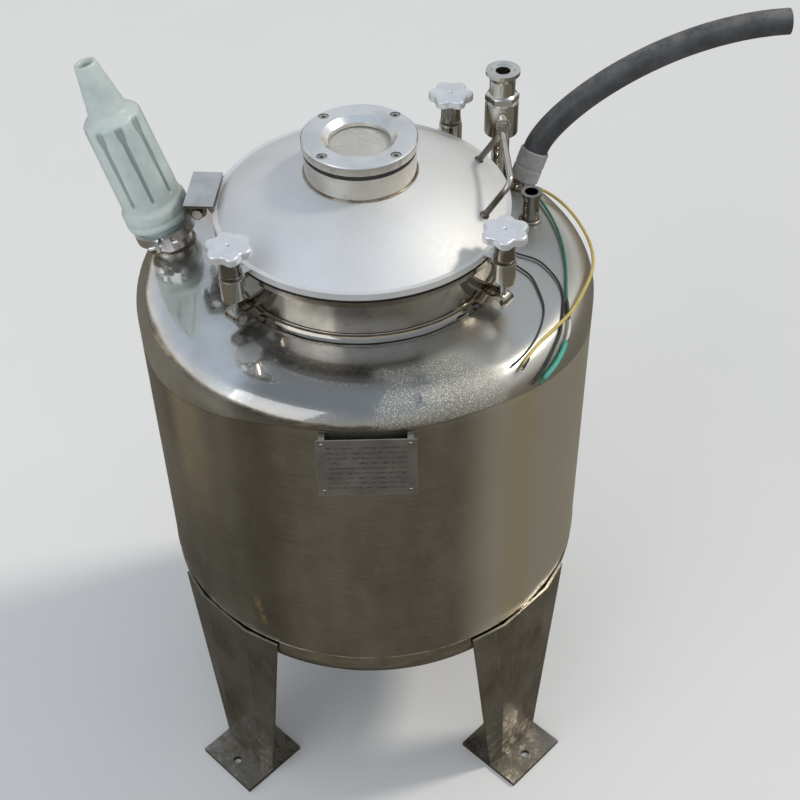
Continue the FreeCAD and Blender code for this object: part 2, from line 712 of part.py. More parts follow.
def leg():
    """Folded sheet leg of three flats, tapering to the foot; local X points outward."""
    body = doc.addObject("PartDesign::Body", "leg_form")
    wall = "Dim.leg_wall"
    sections = []
    for part, level, flat, half, face in (
        ("foot", "Dim.foot_thick", 34, "Dim.leg_foot_half", "Dim.shell_radius"),
        ("top", "Dim.band_bottom - 4", 51, "Dim.leg_top_half", "Dim.shell_radius + Dim.leg_wall + 0.5"),
    ):
        back = f"Dim.leg_fold * ({half} - {flat})"
        sketch = body.newObject("Sketcher::SketchObject", "leg_" + part)
        sketch.AttachmentSupport = [(plane_of(body, "XY_Plane"), "")]
        sketch.MapMode = "FlatFace"
        sketch.setExpression("AttachmentOffset.Base.z", level)
        outline(sketch, [
            (f"{face} - {back}", half),
            (face, str(flat)),
            (face, str(-flat)),
            (f"{face} - {back}", f"-{half}"),
            (f"{face} - {back} - {wall}", f"-{half} + 1"),
            (f"{face} - {wall}", str(-flat + 1)),
            (f"{face} - {wall}", str(flat - 1)),
            (f"{face} - {back} - {wall}", f"{half} - 1"),
        ])
        sections.append(sketch)
    loft = body.newObject("PartDesign::AdditiveLoft", "leg_loft")
    loft.Profile = sections[0]
    loft.Sections = [sections[1]]
    loft.Ruled = True
    return body


def foot_plate():
    radius = dim("Dim.foot_radius")
    size = 2 * dim("Dim.foot_half")
    plate = box((size, size, dim("Dim.foot_thick")), radius + 20, 0, 0)
    hole = cylinder("Dim.anchor_hole", "Dim.foot_thick")
    hole.Placement.Base = V(radius + 55, 0, 0)
    return cut(plate, hole)


leg_form = leg()
leg_places = {"front_left": 225, "front_right": 315, "back_left": 135, "back_right": 45}
for name, angle in leg_places.items():
    placed("leg_" + name, leg_form, around(angle, 0))
group("foot_plates", foot_plate(), [around(angle, 0) for angle in leg_places.values()])

# ---------------------------------------------------------------- nameplate


def nameplate_parts():
    """Plate on a three-sided bracket that holds it off the shell, with four rivets."""
    width, height = dim("Dim.plate_width"), dim("Dim.plate_height")
    low, wall = dim("Dim.plate_low"), dim("Dim.plate_wall")
    face = -dim("Dim.shell_radius + Dim.plate_stand")
    plate = box((width, wall, height), 2, face - wall / 2, low)
    strips = []
    for side in (-1, 1):
        strips.append(box((8, 22, height - 4), 2 + side * (width / 2 - 8), face + 11, low + 2))
    strips.append(box((width - 16, 22, 5), 2, face + 11, low + 2))
    shell = cylinder("Dim.shell_radius", "600", "500")
    bracket = cut(fuse(*strips), shell)
    rods, rivets = [], []
    for side in (-1, 1):
        for level in (low + 8, low + height - 8):
            spot = V(2 + side * (width / 2 - 8), face - wall, level)
            turned = FreeCAD.Placement(spot + V(0, 6, 0), FreeCAD.Rotation(V(1, 0, 0), 90))
            rod = cylinder("1.6", "6")
            rod.Placement = turned
            rods.append(rod)
            shape = Part.makeCylinder(1.6, 6, spot, V(0, 1, 0))
            dome = Part.makeSphere(4, spot + V(0, 2.6, 0)).common(
                Part.makeBox(20, 10, 20, spot + V(-10, -10, -10)))
            rivets.append(shape.fuse(dome))
    holes = fuse(*rods)
    keep(cut(plate, holes), "nameplate")
    keep(cut(bracket, holes), "nameplate_bracket")
    keep(solid(Part.makeCompound(rivets)), "nameplate_rivets")


nameplate_parts()

# ---------------------------------------------------------------- vent capsule

placed("vent_nozzle", spun("vent_nozzle_form", [
    ("Dim.vent_pipe_bore", "-60"),
    ("Dim.vent_pipe", "-60"),
    ("Dim.vent_pipe", "36"),
    ("Dim.vent_ferrule", "40"),
    ("Dim.vent_ferrule", "44"),
    ("Dim.vent_pipe_bore", "44"),
]), vent_frame)
placed("vent_gasket", tube("Dim.vent_ferrule - 0.5", "Dim.vent_pipe_bore", "2", "44"), vent_frame)
placed("vent_capsule", spun("vent_capsule_form", [
    ("Dim.vent_pipe_bore", "46"),
    ("Dim.vent_ferrule", "46"),
    ("Dim.vent_ferrule", "50"),
    ("33", "55"),
    ("33", "59"),
    ("49", "64"),
    ("49", "90"),
    ("44", "98"),
    ("42.5", "208"),
    ("22", "248"),
    ("20", "262"),
    ("16", "318"),
    ("12", "318"),
    ("16", "262"),
    ("18", "247"),
    ("38.5", "207"),
    ("40", "97"),
    ("45", "89"),
    ("45", "67"),
    ("Dim.vent_pipe_bore", "63"),
]), vent_frame)
placed("vent_filter_element", tube("34", "20", "130", "67.5"), vent_frame)


def vent_clamp():
    """Clamp ring with a gap, two lugs and a wing-nut bolt."""
    ring = tube("Dim.vent_ferrule + 7", "Dim.vent_ferrule + 0.3", "15", "37.5")
    gap = box((20, 5, 30), 43, 0, 30)
    lugs = [box((14, 5, 12), 51, 5, 39), box((14, 5, 12), 51, -5, 39)]
    bolt_bar = upright_disc("3", 44, -18)
    bolt_bar.Placement.Base += V(52, 0, 45)
    wing = box((10, 10, 22), 52, 12.6, 34)
    return fuse(cut(fuse(ring, *lugs), gap), bolt_bar, wing)


spin = FreeCAD.Placement(V(), FreeCAD.Rotation(UP, 100))
placed("vent_clamp", vent_clamp(), vent_frame.multiply(spin))

# ---------------------------------------------------------------- ball valve

valve_frame = FreeCAD.Placement(VALVE_AT, FreeCAD.Rotation())
valve_middle = dim("Dim.valve_low + Dim.valve_high") / 2
valve_stem_frame = FreeCAD.Placement(VALVE_AT + V(0, 0, valve_middle), FreeCAD.Rotation())


def ball(radius):
    sphere = doc.addObject("Part::Sphere", "Ball")
    return bind(sphere, Radius=radius)


def lying(radius, near, far):
    """Round bar along -Y between two distances in front of the valve's axis."""
    bar = cylinder(radius, str(far - near))
    bar.Placement = FreeCAD.Placement(V(0, -near, 0), FreeCAD.Rotation(V(1, 0, 0), 90))
    return bar


def centred(outer, inner, low, high):
    """Ring about the valve's flow axis, measured from the ball's centre."""
    return tube(outer, inner, str(high - low), str(low))


def valve_body():
    shell = cylinder("Dim.valve_radius", "52", "-30")
    gland = lying("10", 20, 31)
    room = cylinder("Dim.valve_ball + 1", "42", "-20")
    socket = cylinder("Dim.valve_pipe", "10", "-30")
    return cut(fuse(shell, gland), room, socket, lying("Dim.valve_stem + Dim.running_gap", 0, 40))


def valve_seats():
    reach = "Dim.valve_ball + 0.9"
    lower = cut(centred(reach, "Dim.valve_port", -20, -11), ball("Dim.valve_ball + Dim.running_gap"))
    upper = cut(centred(reach, "Dim.valve_port", 11, 22), ball("Dim.valve_ball + Dim.running_gap"))
    pair = doc.addObject("Part::Compound", "Seats")
    pair.Links = [lower, upper]
    return pair


def valve_ball():
    """Ball with its port across the flow, so the valve is shut, and a flat for the stem."""
    port = cylinder("Dim.valve_port", "60")
    port.Placement = FreeCAD.Placement(V(-30, 0, 0), FreeCAD.Rotation(V(0, 1, 0), 90))
    flat = box((40, 10, 40), 0, -19, -20)
    return cut(ball("Dim.valve_ball"), port, flat)


def valve_stop_plate():
    """Small plate on the stem that shows the ball's position and takes a key."""
    blade = box((15, 3, 34), 0, -34.5, -25)
    return cut(fuse(blade, lying("11", 33, 36)), lying("Dim.valve_stem", 30, 45))


def valve_ferrule():
    """Hexagon end piece with a clamp ferrule, bored through."""
    turned = spun("valve_ferrule_form", [
        ("Dim.ferrule_bore", "22"),
        ("Dim.valve_radius - 3", "22"),
        ("Dim.valve_radius - 3", "34"),
        ("19", "36"),
        ("19", "58"),
        ("21", "64"),
        ("Dim.ferrule_radius", "67"),
        ("Dim.ferrule_radius", "73"),
        ("Dim.ferrule_bore + 7", "73"),
        ("Dim.ferrule_bore + 5", "71"),
        ("Dim.ferrule_bore", "71"),
    ])
    bore = cylinder("Dim.ferrule_bore", "80", "10")
    return cut(fuse(turned, prism(44, 9, 24)), bore)


def hex_nut_lying(flats, near, far):
    nut = prism(flats, far - near, 0)
    nut.Placement = FreeCAD.Placement(V(0, -near, 0), FreeCAD.Rotation(V(1, 0, 0), 90))
    return cut(nut, lying("Dim.valve_stem", near - 1, far + 1))


keep(cut(cylinder("Dim.valve_pipe", "170", "854"), cylinder("Dim.valve_pipe_bore", "170", "854")),
     "valve_nozzle")
nodes[-1].Placement.Base = VALVE_AT
keep(tube("Dim.valve_pipe_bore", "Dim.valve_pipe_bore - 1.5", "520", "375"), "dip_tube")
nodes[-1].Placement.Base = VALVE_AT
placed("valve_body", valve_body(), valve_stem_frame)
placed("valve_seats", valve_seats(), valve_stem_frame)
placed("valve_ball", valve_ball(), valve_stem_frame)
placed("valve_stem", lying("Dim.valve_stem", 14, 45), valve_stem_frame)
placed("valve_stop_plate", valve_stop_plate(), valve_stem_frame)
placed("valve_stem_nut", hex_nut_lying(16, 36.5, 43), valve_stem_frame)
placed("valve_ferrule", valve_ferrule(), valve_stem_frame)

# ---------------------------------------------------------------- stub, gland, hose and wires

head_space = spun("head_space", [
    ("0", "800"),
    ("Dim.shell_radius", "800"),
    ("Dim.shell_radius", "Dim.band_top + Dim.head_straight"),
    ("Dim.knuckle_rim", "Dim.knuckle_top", "Dim.knuckle"),
    ("0", "Dim.knuckle_top + Dim.crown_rise", "Dim.head_dish"),
])
socket_length = "Dim.stub_top - 42"
stub_form = spun("stub_form", [
    ("0", "905"),
    ("Dim.stub_radius", "905"),
    ("Dim.stub_radius", "Dim.stub_top - 6"),
    ("Dim.stub_radius + 3", "Dim.stub_top - 5"),
    ("Dim.stub_radius + 3", "Dim.stub_top"),
    ("Dim.stub_bore", "Dim.stub_top"),
    ("Dim.stub_bore", socket_length),
    ("0", socket_length),
])
group_off("probe_socket", stub_form, [FreeCAD.Placement(STUB_AT, FreeCAD.Rotation())], head_space)
socket_form = spun("gland_socket_form", [
    ("11", "-30"), ("16", "-30"), ("16", "6"), ("20", "7"), ("20", "14"), ("11", "14"),
])
group_off("gland_socket", socket_form, [gland_frame], head_space)
placed("gland_body", spun("gland_form", [
    ("11", "14"), ("Dim.gland_radius", "14"), ("Dim.gland_radius", "33"),
    ("Dim.gland_radius - 1.5", "34"), ("Dim.gland_radius - 1.5", "37"), ("Dim.gland_radius", "38"),
    ("Dim.gland_radius", "60"), ("Dim.gland_radius - 1.5", "62"), ("Dim.hose_radius", "62"),
    ("Dim.hose_radius", "30"), ("11", "30"),
]), gland_frame)


def hose():
    """Black rubber hose: straight in the gland, then a long arch out to the side."""
    start = gland_frame.multVec(V(0, 0, 30))
    mouth = gland_frame.multVec(V(0, 0, 64))
    way = V(GLAND_AXIS).normalize()
    curve = Part.BezierCurve()
    curve.setPoles([mouth, mouth + way * 60, HOSE_SHOULDER, HOSE_END])
    path = Part.Wire([Part.makeLine(start, mouth), curve.toShape()])
    return swept(path, start, way, dim("Dim.hose_radius"), dim("Dim.hose_bore"))


keep(solid(hose()), "black_hose")


def head_spot(azimuth, radius, lift):
    """Point above the top head at an azimuth, on a plan radius of the skin."""
    rim, centre = dim("Dim.knuckle_rim"), dim("Dim.shell_radius - Dim.knuckle")
    turn = math.radians(azimuth)
    if radius <= rim:
        level = dim("Dim.knuckle_top") + (rim ** 2 - radius ** 2) / (2 * dim("Dim.head_dish"))
        return (radius * math.cos(turn), radius * math.sin(turn), level + lift)
    slope = math.acos((radius - centre) / dim("Dim.knuckle"))
    reach = centre + (dim("Dim.knuckle") + lift) * math.cos(slope)
    level = dim("Dim.band_top + Dim.head_straight") + (dim("Dim.knuckle") + lift) * math.sin(slope)
    return (reach * math.cos(turn), reach * math.sin(turn), level)


def wire(run, radius, lift):
    return curve_rod([head_spot(azimuth, plan, lift) for azimuth, plan in run], radius)


# each run lists azimuth and plan radius on the head; lift is the height of the wire's middle
yellow_run = [(29, 300), (22, 317), (14, 325), (2, 326), (-7, 322), (-15, 317),
              (-26, 313), (-36, 309), (-43, 310), (-50, 319)]
green_run = [(28, 293), (19, 290), (7, 288), (-3, 289), (-14, 294),
             (-23, 305), (-30, 322), (-38, 331), (-46, 334)]
inner_run = [(0, 215), (-11, 220), (-15, 242), (-21, 261), (-27, 279),
             (-34, 293), (-40, 302), (-51, 311)]
outer_run = [(4, 214), (-4, 221), (-6, 244), (-11, 269), (-16, 286),
             (-22, 299), (-30, 312), (-36, 321), (-48, 333)]
keep(solid(wire(yellow_run, dim("Dim.yellow_wire"), dim("Dim.yellow_lift"))), "yellow_wire")
keep(solid(wire(green_run, dim("Dim.green_wire"), dim("Dim.green_lift"))), "green_wire")
sensor_wire, sensor_lift = dim("Dim.sensor_wire"), dim("Dim.sensor_lift")
sensor_pair = [wire(run, sensor_wire, sensor_lift) for run in (inner_run, outer_run)]
keep(solid(Part.makeCompound(sensor_pair)), "sensor_wires")

# ---------------------------------------------------------------- drain

keep(tube("Dim.drain_radius", "Dim.drain_bore", "98", "250"), "drain_nozzle")
keep(spun("drain_cap", [
    ("0", "240"), ("21", "240"), ("22", "241"), ("22", "266"), ("21", "267"),
    ("Dim.drain_radius + Dim.running_gap", "267"), ("Dim.drain_radius + Dim.running_gap", "249.9"),
    ("0", "249.9"),
]), "drain_cap")

# ---------------------------------------------------------------- checks and files

doc.recompute()
for item in doc.Objects:
    if {"Invalid", "Error"} & set(item.State):
        raise RuntimeError(f"{item.Label} failed: {item.State}")
names = [item.Label for item in nodes]
if len(set(names)) != len(names):
    raise RuntimeError("two sub-parts share a name")
for item in nodes:
    if item.Shape.isNull() or not item.Shape.isValid() or not item.Shape.Solids:
        raise RuntimeError(f"{item.Label} has no valid solid")

os.makedirs("parts", exist_ok=True)
for item in nodes:
    item.Shape.exportStep(f"parts/{item.Label}.step")
print(len(nodes), "sub-parts written")
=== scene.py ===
"""Looks for an insulated liquid nitrogen vessel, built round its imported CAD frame.

Metres, +Z up, origin on the tank's axis at floor level; the nameplate faces -Y.
"""
import math

import bpy
from mathutils import Matrix, Vector, noise


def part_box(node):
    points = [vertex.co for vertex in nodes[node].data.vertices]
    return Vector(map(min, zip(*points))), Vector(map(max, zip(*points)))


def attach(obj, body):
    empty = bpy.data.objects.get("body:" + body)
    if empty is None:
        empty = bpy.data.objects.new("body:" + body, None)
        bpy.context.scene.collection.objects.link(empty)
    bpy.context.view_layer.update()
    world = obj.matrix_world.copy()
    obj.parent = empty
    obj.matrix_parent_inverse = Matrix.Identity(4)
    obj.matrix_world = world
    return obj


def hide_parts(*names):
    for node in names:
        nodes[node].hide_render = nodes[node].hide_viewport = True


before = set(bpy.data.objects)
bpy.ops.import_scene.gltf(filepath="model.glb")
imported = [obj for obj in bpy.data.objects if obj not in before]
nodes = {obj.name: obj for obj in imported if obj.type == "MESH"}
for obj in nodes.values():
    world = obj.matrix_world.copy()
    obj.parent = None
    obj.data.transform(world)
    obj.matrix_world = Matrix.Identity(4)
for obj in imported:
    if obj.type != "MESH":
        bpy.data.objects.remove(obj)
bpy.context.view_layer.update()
MM = 0.001

# ---------------------------------------------------------------- places, from the frame

SHELL_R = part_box("outer_shell")[1].x
BAND_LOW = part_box("outer_shell")[0].z
BAND_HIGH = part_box("outer_shell")[1].z
RIM_LEVEL = 1.0
NECK_R = 0.197
NECK_FOOT = 0.9327
VENT_FOOT = Vector((-0.279, 0.045, 0.908))
VENT_TURN = math.radians(171)
VENT_LEAN = math.radians(16)
GLAND_FOOT = Vector((0.240, 0.165, 0.925))
GLAND_AXIS = Vector((23, 15, 62)).normalized()
STATIONS = {"front_left": -136, "front_right": -37, "back_right": 56}
STATION_R = 0.238
VALVE_AT = Vector((0.208, 0.184, 0))
SOCKET_AT = Vector((0.247, 0.075, 0))
KNUCKLE = 0.048
KNUCKLE_START = 0.2912
KNUCKLE_RISE = 0.020
POLISH_LEVEL = 0.891
POLISH_DROP = 0.052
RUST_TURN = math.radians(-121)
RUST_LEVEL = 0.472
LEGS = {"front_left": 225, "front_right": 315, "back_left": 135, "back_right": 45}


def at(azimuth, radius, level=0.0):
    """Point at an azimuth in degrees, a plan radius and a level."""
    turn = math.radians(azimuth)
    return Vector((radius * math.cos(turn), radius * math.sin(turn), level))


# ---------------------------------------------------------------- node recipes


class Recipe:
    """One procedural material, put together from short calls."""

    def __init__(self, name):
        self.mat = bpy.data.materials.new(name)
        self.mat.use_nodes = True
        self.tree = self.mat.node_tree
        self.shader = self.tree.nodes["Principled BSDF"]
        self.place = self.node("ShaderNodeTexCoord").outputs["Object"]

    def node(self, kind, **settings):
        item = self.tree.nodes.new(kind)
        for key, value in settings.items():
            setattr(item, key, value)
        return item

    def feed(self, source, socket):
        if isinstance(source, bpy.types.NodeSocket):
            self.tree.links.new(source, socket)
        elif isinstance(source, (int, float)) and socket.type == "RGBA":
            socket.default_value = (source, source, source, 1)
        elif isinstance(source, tuple) and socket.type == "RGBA" and len(source) == 3:
            socket.default_value = source + (1,)
        else:
            socket.default_value = source

    def math(self, operation, a, b=0.0, clamp=False):
        item = self.node("ShaderNodeMath", operation=operation, use_clamp=clamp)
        self.feed(a, item.inputs[0])
        self.feed(b, item.inputs[1])
        return item.outputs[0]

    def span(self, value, low, high, start=0.0, end=1.0):
        """Smooth change from start to end while value goes from low to high."""
        item = self.node("ShaderNodeMapRange", interpolation_type="SMOOTHSTEP")
        for index, number in enumerate((value, low, high, start, end)):
            self.feed(number, item.inputs[index])
        return item.outputs[0]

    def noise(self, scale, detail=3.0, rough=0.55, vector=None):
        item = self.node("ShaderNodeTexNoise")
        self.feed(vector or self.place, item.inputs["Vector"])
        item.inputs["Scale"].default_value = scale
        item.inputs["Detail"].default_value = detail
        item.inputs["Roughness"].default_value = rough
        return item.outputs["Fac"]

    def cells(self, scale, vector=None):
        item = self.node("ShaderNodeTexVoronoi")
        self.feed(vector or self.place, item.inputs["Vector"])
        item.inputs["Scale"].default_value = scale
        return item.outputs["Distance"]

    def axes(self):
        item = self.node("ShaderNodeSeparateXYZ")
        self.feed(self.place, item.inputs[0])
        return item.outputs

    def vector(self, x, y, z):
        item = self.node("ShaderNodeCombineXYZ")
        for socket, value in zip(item.inputs, (x, y, z)):
            self.feed(value, socket)
        return item.outputs[0]

    def scaled(self, x, y, z, vector=None):
        item = self.node("ShaderNodeVectorMath", operation="MULTIPLY")
        self.feed(vector or self.place, item.inputs[0])
        item.inputs[1].default_value = (x, y, z)
        return item.outputs[0]

    def angle(self):
        """Azimuth round the tank's axis, in radians."""
        x, y, _ = self.axes()
        return self.math("ARCTAN2", y, x)

    def round_grain(self, along, across):
        """Coordinates for a grain that runs round the tank's axis."""
        x, y, z = self.axes()
        turn = self.math("ARCTAN2", y, x)
        return self.vector(self.math("MULTIPLY", turn, along), self.math("MULTIPLY", z, across), 0.0)

    def mix(self, amount, a, b, kind="MIX"):
        item = self.node("ShaderNodeMix", data_type="RGBA", blend_type=kind)
        self.feed(amount, item.inputs[0])
        self.feed(a, item.inputs[6])
        self.feed(b, item.inputs[7])
        return item.outputs[2]

    def bump(self, height, depth, before=None, strength=1.0):
        item = self.node("ShaderNodeBump")
        item.inputs["Strength"].default_value = strength
        item.inputs["Distance"].default_value = depth
        self.feed(height, item.inputs["Height"])
        if before is not None:
            self.feed(before, item.inputs["Normal"])
        return item.outputs[0]

    def edge(self, radius=0.0012):
        """1 on edges, 0 on flats: worn edges on most parts, painted highlights on the capsule's edges."""
        bevel = self.node("ShaderNodeBevel", samples=4)
        bevel.inputs["Radius"].default_value = radius
        flat = self.node("ShaderNodeNewGeometry").outputs["Normal"]
        dot = self.node("ShaderNodeVectorMath", operation="DOT_PRODUCT")
        self.feed(bevel.outputs[0], dot.inputs[0])
        self.feed(flat, dot.inputs[1])
        return self.span(dot.outputs["Value"], 0.995, 0.86)

    def done(self, **sockets):
        for name, value in sockets.items():
            self.feed(value, self.shader.inputs[name.replace("_", " ")])
        return self.mat


def steel(name, tone, rough, dirt=0.25, grain=0.0, metal=1.0, dark=(0.09, 0.075, 0.055)):
    """Polished or satin steel part: cloudy tone, fine specks, rubbed edges, dirt in patches."""
    r = Recipe(name)
    cloud = r.noise(9, 4, 0.6)
    fine = r.noise(420, 2, 0.6)
    streak = r.noise(60, 3, 0.6, r.scaled(1, 1, 14))
    base = r.mix(r.span(cloud, 0.35, 0.7), tone, tuple(c * 0.78 for c in tone))
    soil = r.math("MULTIPLY", r.span(r.noise(34, 5, 0.7), 0.56, 0.74), dirt)
    base = r.mix(soil, base, dark)
    base = r.mix(r.math("MULTIPLY", r.edge(), 0.5), base, tuple(min(1, c * 1.25) for c in tone))
    spread = r.math("ADD", r.span(cloud, 0.3, 0.75, rough * 0.8, rough * 1.35),
                    r.math("MULTIPLY", soil, 0.4))
    relief = r.bump(fine, 0.00006, strength=0.25)
    if grain:
        relief = r.bump(streak, 0.00012 * grain, relief, 0.5)
    return r.done(Base_Color=base, Metallic=metal, Roughness=spread, Normal=relief)


def band_finish(r, turn, z):
    """Satin band: grain round the axis, brown-grey cloud, scratches and soil, with painted sunlight on the
    right side and a painted highlight, a painted reflection and painted shade in vertical strips.
    """
    grain = r.noise(1, 5, 0.7, r.round_grain(9, 1500))
    coarse = r.noise(1, 4, 0.6, r.round_grain(5, 260))
    cloud = r.noise(5.5, 5, 0.62, r.vector(r.math("MULTIPLY", turn, 0.7), z, 0.0))
    tone = r.mix(r.span(cloud, 0.32, 0.68), (0.29, 0.27, 0.235), (0.45, 0.425, 0.375))
    tone = r.mix(r.span(coarse, 0.35, 0.68, 0.0, 0.34), tone, (0.52, 0.48, 0.41))
    # Painted sunlight: the right side of the band is lightened towards pale warm grey; the same side also
    # takes the scratches and extra roughness.
    right = r.span(turn, -1.22, -0.98)
    tone = r.mix(r.math("MULTIPLY", right, 0.8), tone, (0.90, 0.86, 0.74))
    # Painted highlight: a narrow gold vertical stripe on the right of the band.
    gold_highlight = r.math("MULTIPLY", r.span(turn, -1.0, -0.88), r.span(turn, -0.74, -0.86))
    tone = r.mix(r.math("MULTIPLY", gold_highlight, 0.6), tone, (0.80, 0.70, 0.46))
    # Painted reflection: a warm bright vertical strip on the left of the band, fading out towards the
    # bottom.
    warm_reflection = r.math("MULTIPLY", r.span(turn, -2.58, -2.46), r.span(turn, -2.24, -2.38))
    fade = r.span(z, 0.52, 0.74)
    tone = r.mix(r.math("MULTIPLY", r.math("MULTIPLY", warm_reflection, fade), 0.75), tone, (0.78, 0.68, 0.50))
    shade = r.math("MULTIPLY", r.span(turn, -2.20, -2.10), r.span(turn, -1.90, -2.02))
    tone = r.mix(r.math("MULTIPLY", shade, 0.45), tone, (0.15, 0.135, 0.11))
    mottle = r.span(r.noise(900, 2, 0.6), 0.55, 0.72)
    soiled = r.math("MULTIPLY", mottle, r.span(r.noise(7, 3), 0.46, 0.66))
    tone = r.mix(r.math("MULTIPLY", soiled, 0.55), tone, (0.68, 0.66, 0.58))
    sweep = r.vector(r.math("ADD", r.math("MULTIPLY", turn, 60), r.math("MULTIPLY", z, 300)),
                     r.math("MULTIPLY", z, 20), 3.0)
    scratch = r.math("MULTIPLY", r.span(r.noise(1, 3, 0.6, sweep), 0.66, 0.74), right)
    tone = r.mix(r.math("MULTIPLY", scratch, 0.4), tone, (0.75, 0.73, 0.66))
    away = r.math("ABSOLUTE", r.math("ADD", r.math("SUBTRACT", turn, RUST_TURN),
                                     r.math("MULTIPLY", r.math("SUBTRACT", z, RUST_LEVEL), 0.5)))
    tall = r.math("ABSOLUTE", r.math("SUBTRACT", z, RUST_LEVEL))
    ragged = r.math("MULTIPLY", r.noise(70, 4, 0.7), 0.03)
    rust = r.math("MULTIPLY", r.span(r.math("ADD", away, ragged), 0.042, 0.026),
                  r.span(r.math("ADD", tall, ragged), 0.052, 0.036))
    rust = r.math("MULTIPLY", rust, r.span(r.noise(160, 3, 0.7), 0.38, 0.56))
    tone = r.mix(r.math("MULTIPLY", rust, 0.85), tone, (0.52, 0.38, 0.18))
    rough = r.math("ADD", r.span(grain, 0.3, 0.7, 0.24, 0.34), r.math("MULTIPLY", soiled, 0.22))
    rough = r.math("ADD", rough, r.math("MULTIPLY", rust, 0.3))
    rough = r.math("ADD", rough, r.math("MULTIPLY", right, 0.16))
    return tone, rough, grain


def head_finish(r, turn, x, y):
    """Mirror head: clear on the left, dusty and scuffed on the right of the front, with a painted dark
    reflection on the front of its outer ring.
    """
    plan = r.math("SQRT", r.math("ADD", r.math("MULTIPLY", x, x), r.math("MULTIPLY", y, y)))
    cloud = r.noise(7, 5, 0.6)
    tone = r.mix(r.span(cloud, 0.35, 0.7), (0.76, 0.76, 0.75), (0.60, 0.585, 0.55))
    edge = r.math("ADD", turn, r.math("MULTIPLY", r.noise(12, 4, 0.6), 0.35))
    dull = r.math("MULTIPLY", r.span(edge, -1.15, -0.95), r.span(edge, 1.9, 1.4))
    tone = r.mix(r.math("MULTIPLY", dull, 0.7), tone, (0.55, 0.53, 0.47))
    # Painted reflection: the front of the head's outer ring is darkened towards near black.
    front = r.math("MULTIPLY", r.span(edge, -2.05, -1.8), r.span(edge, -0.82, -1.05))
    front = r.math("MULTIPLY", front, r.span(plan, 0.225, 0.262))
    tone = r.mix(r.math("MULTIPLY", front, 0.85), tone, (0.24, 0.23, 0.21))
    specks = r.span(r.noise(650, 2, 0.75), 0.5, 0.66)
    patch = r.math("MULTIPLY", r.span(edge, -1.42, -1.28), r.span(edge, -0.74, -0.86))
    patch = r.math("MULTIPLY", patch, r.span(plan, 0.235, 0.262))
    patch = r.math("MULTIPLY", patch, r.span(r.noise(16, 4, 0.65), 0.3, 0.45))
    tone = r.mix(r.math("MULTIPLY", patch, 0.6), tone, (0.32, 0.31, 0.27))
    tone = r.mix(r.math("MULTIPLY", patch, specks), tone, (0.90, 0.87, 0.78))
    spots = r.math("MULTIPLY", r.span(r.cells(95), 0.09, 0.05), r.span(r.noise(10, 3), 0.5, 0.62))
    tone = r.mix(r.math("MULTIPLY", spots, 0.55), tone, (0.5, 0.46, 0.38))
    scuff_at = at(-126, 0.262)
    away = r.math("SQRT", r.math("ADD", r.math("POWER", r.math("SUBTRACT", x, scuff_at.x), 2),
                                 r.math("POWER", r.math("SUBTRACT", y, scuff_at.y), 2)))
    ragged = r.math("ADD", away, r.math("MULTIPLY", r.noise(55, 4, 0.7), 0.02))
    scuff = r.span(ragged, 0.034, 0.024)
    tone = r.mix(r.math("MULTIPLY", scuff, 0.75), tone, (0.82, 0.80, 0.77))
    soil = r.math("MULTIPLY", r.span(plan, 0.222, 0.2), r.span(r.noise(24, 5, 0.7), 0.42, 0.62))
    tone = r.mix(r.math("MULTIPLY", soil, 0.6), tone, (0.2, 0.17, 0.12))
    rough = r.math("ADD", r.span(cloud, 0.3, 0.75, 0.04, 0.10), r.math("MULTIPLY", dull, 0.26))
    rough = r.math("ADD", rough, r.math("MULTIPLY", patch, 0.34))
    rough = r.math("ADD", rough, r.math("MULTIPLY", r.math("ADD", scuff, soil), 0.3), True)
    return tone, rough, specks


def tank_skin():
    """Head and band in one: mirror above the line where the polishing stops, satin below."""
    r = Recipe("tank_skin")
    x, y, z = r.axes()
    turn = r.angle()
    from_front = r.math("ARCTAN2", x, r.math("MULTIPLY", y, -1.0))
    left = r.span(from_front, -0.21, -1.15, 0.0, POLISH_DROP)
    right = r.span(from_front, 0.38, 1.66, 0.0, POLISH_DROP)
    line = r.math("SUBTRACT", POLISH_LEVEL, r.math("ADD", left, right))
    line = r.math("ADD", line, r.math("MULTIPLY", r.noise(14, 3, 0.6), 0.004))
    above = r.math("SUBTRACT", z, line)
    polished = r.span(above, -0.0008, 0.0008)
    band_tone, band_rough, grain = band_finish(r, turn, z)
    head_tone, head_rough, specks = head_finish(r, turn, x, y)
    lip = r.math("MULTIPLY", r.span(above, -0.0035, -0.0008), r.span(above, 0.0022, 0.0))
    tone = r.mix(r.math("MULTIPLY", lip, 0.35), r.mix(polished, band_tone, head_tone),
                 (0.16, 0.14, 0.11))
    rough = r.math("ADD", r.math("MULTIPLY", polished, head_rough),
                   r.math("MULTIPLY", r.math("SUBTRACT", 1.0, polished), band_rough))
    fine = r.math("ADD", r.math("MULTIPLY", polished, r.math("MULTIPLY", specks, 0.4)),
                  r.math("MULTIPLY", r.math("SUBTRACT", 1.0, polished), grain))
    relief = r.bump(fine, 0.00022, strength=0.45)
    relief = r.bump(r.noise(4.2, 2, 0.4), 0.005, relief, 0.22)
    return r.done(Base_Color=tone, Metallic=0.96, Roughness=rough, Normal=relief)


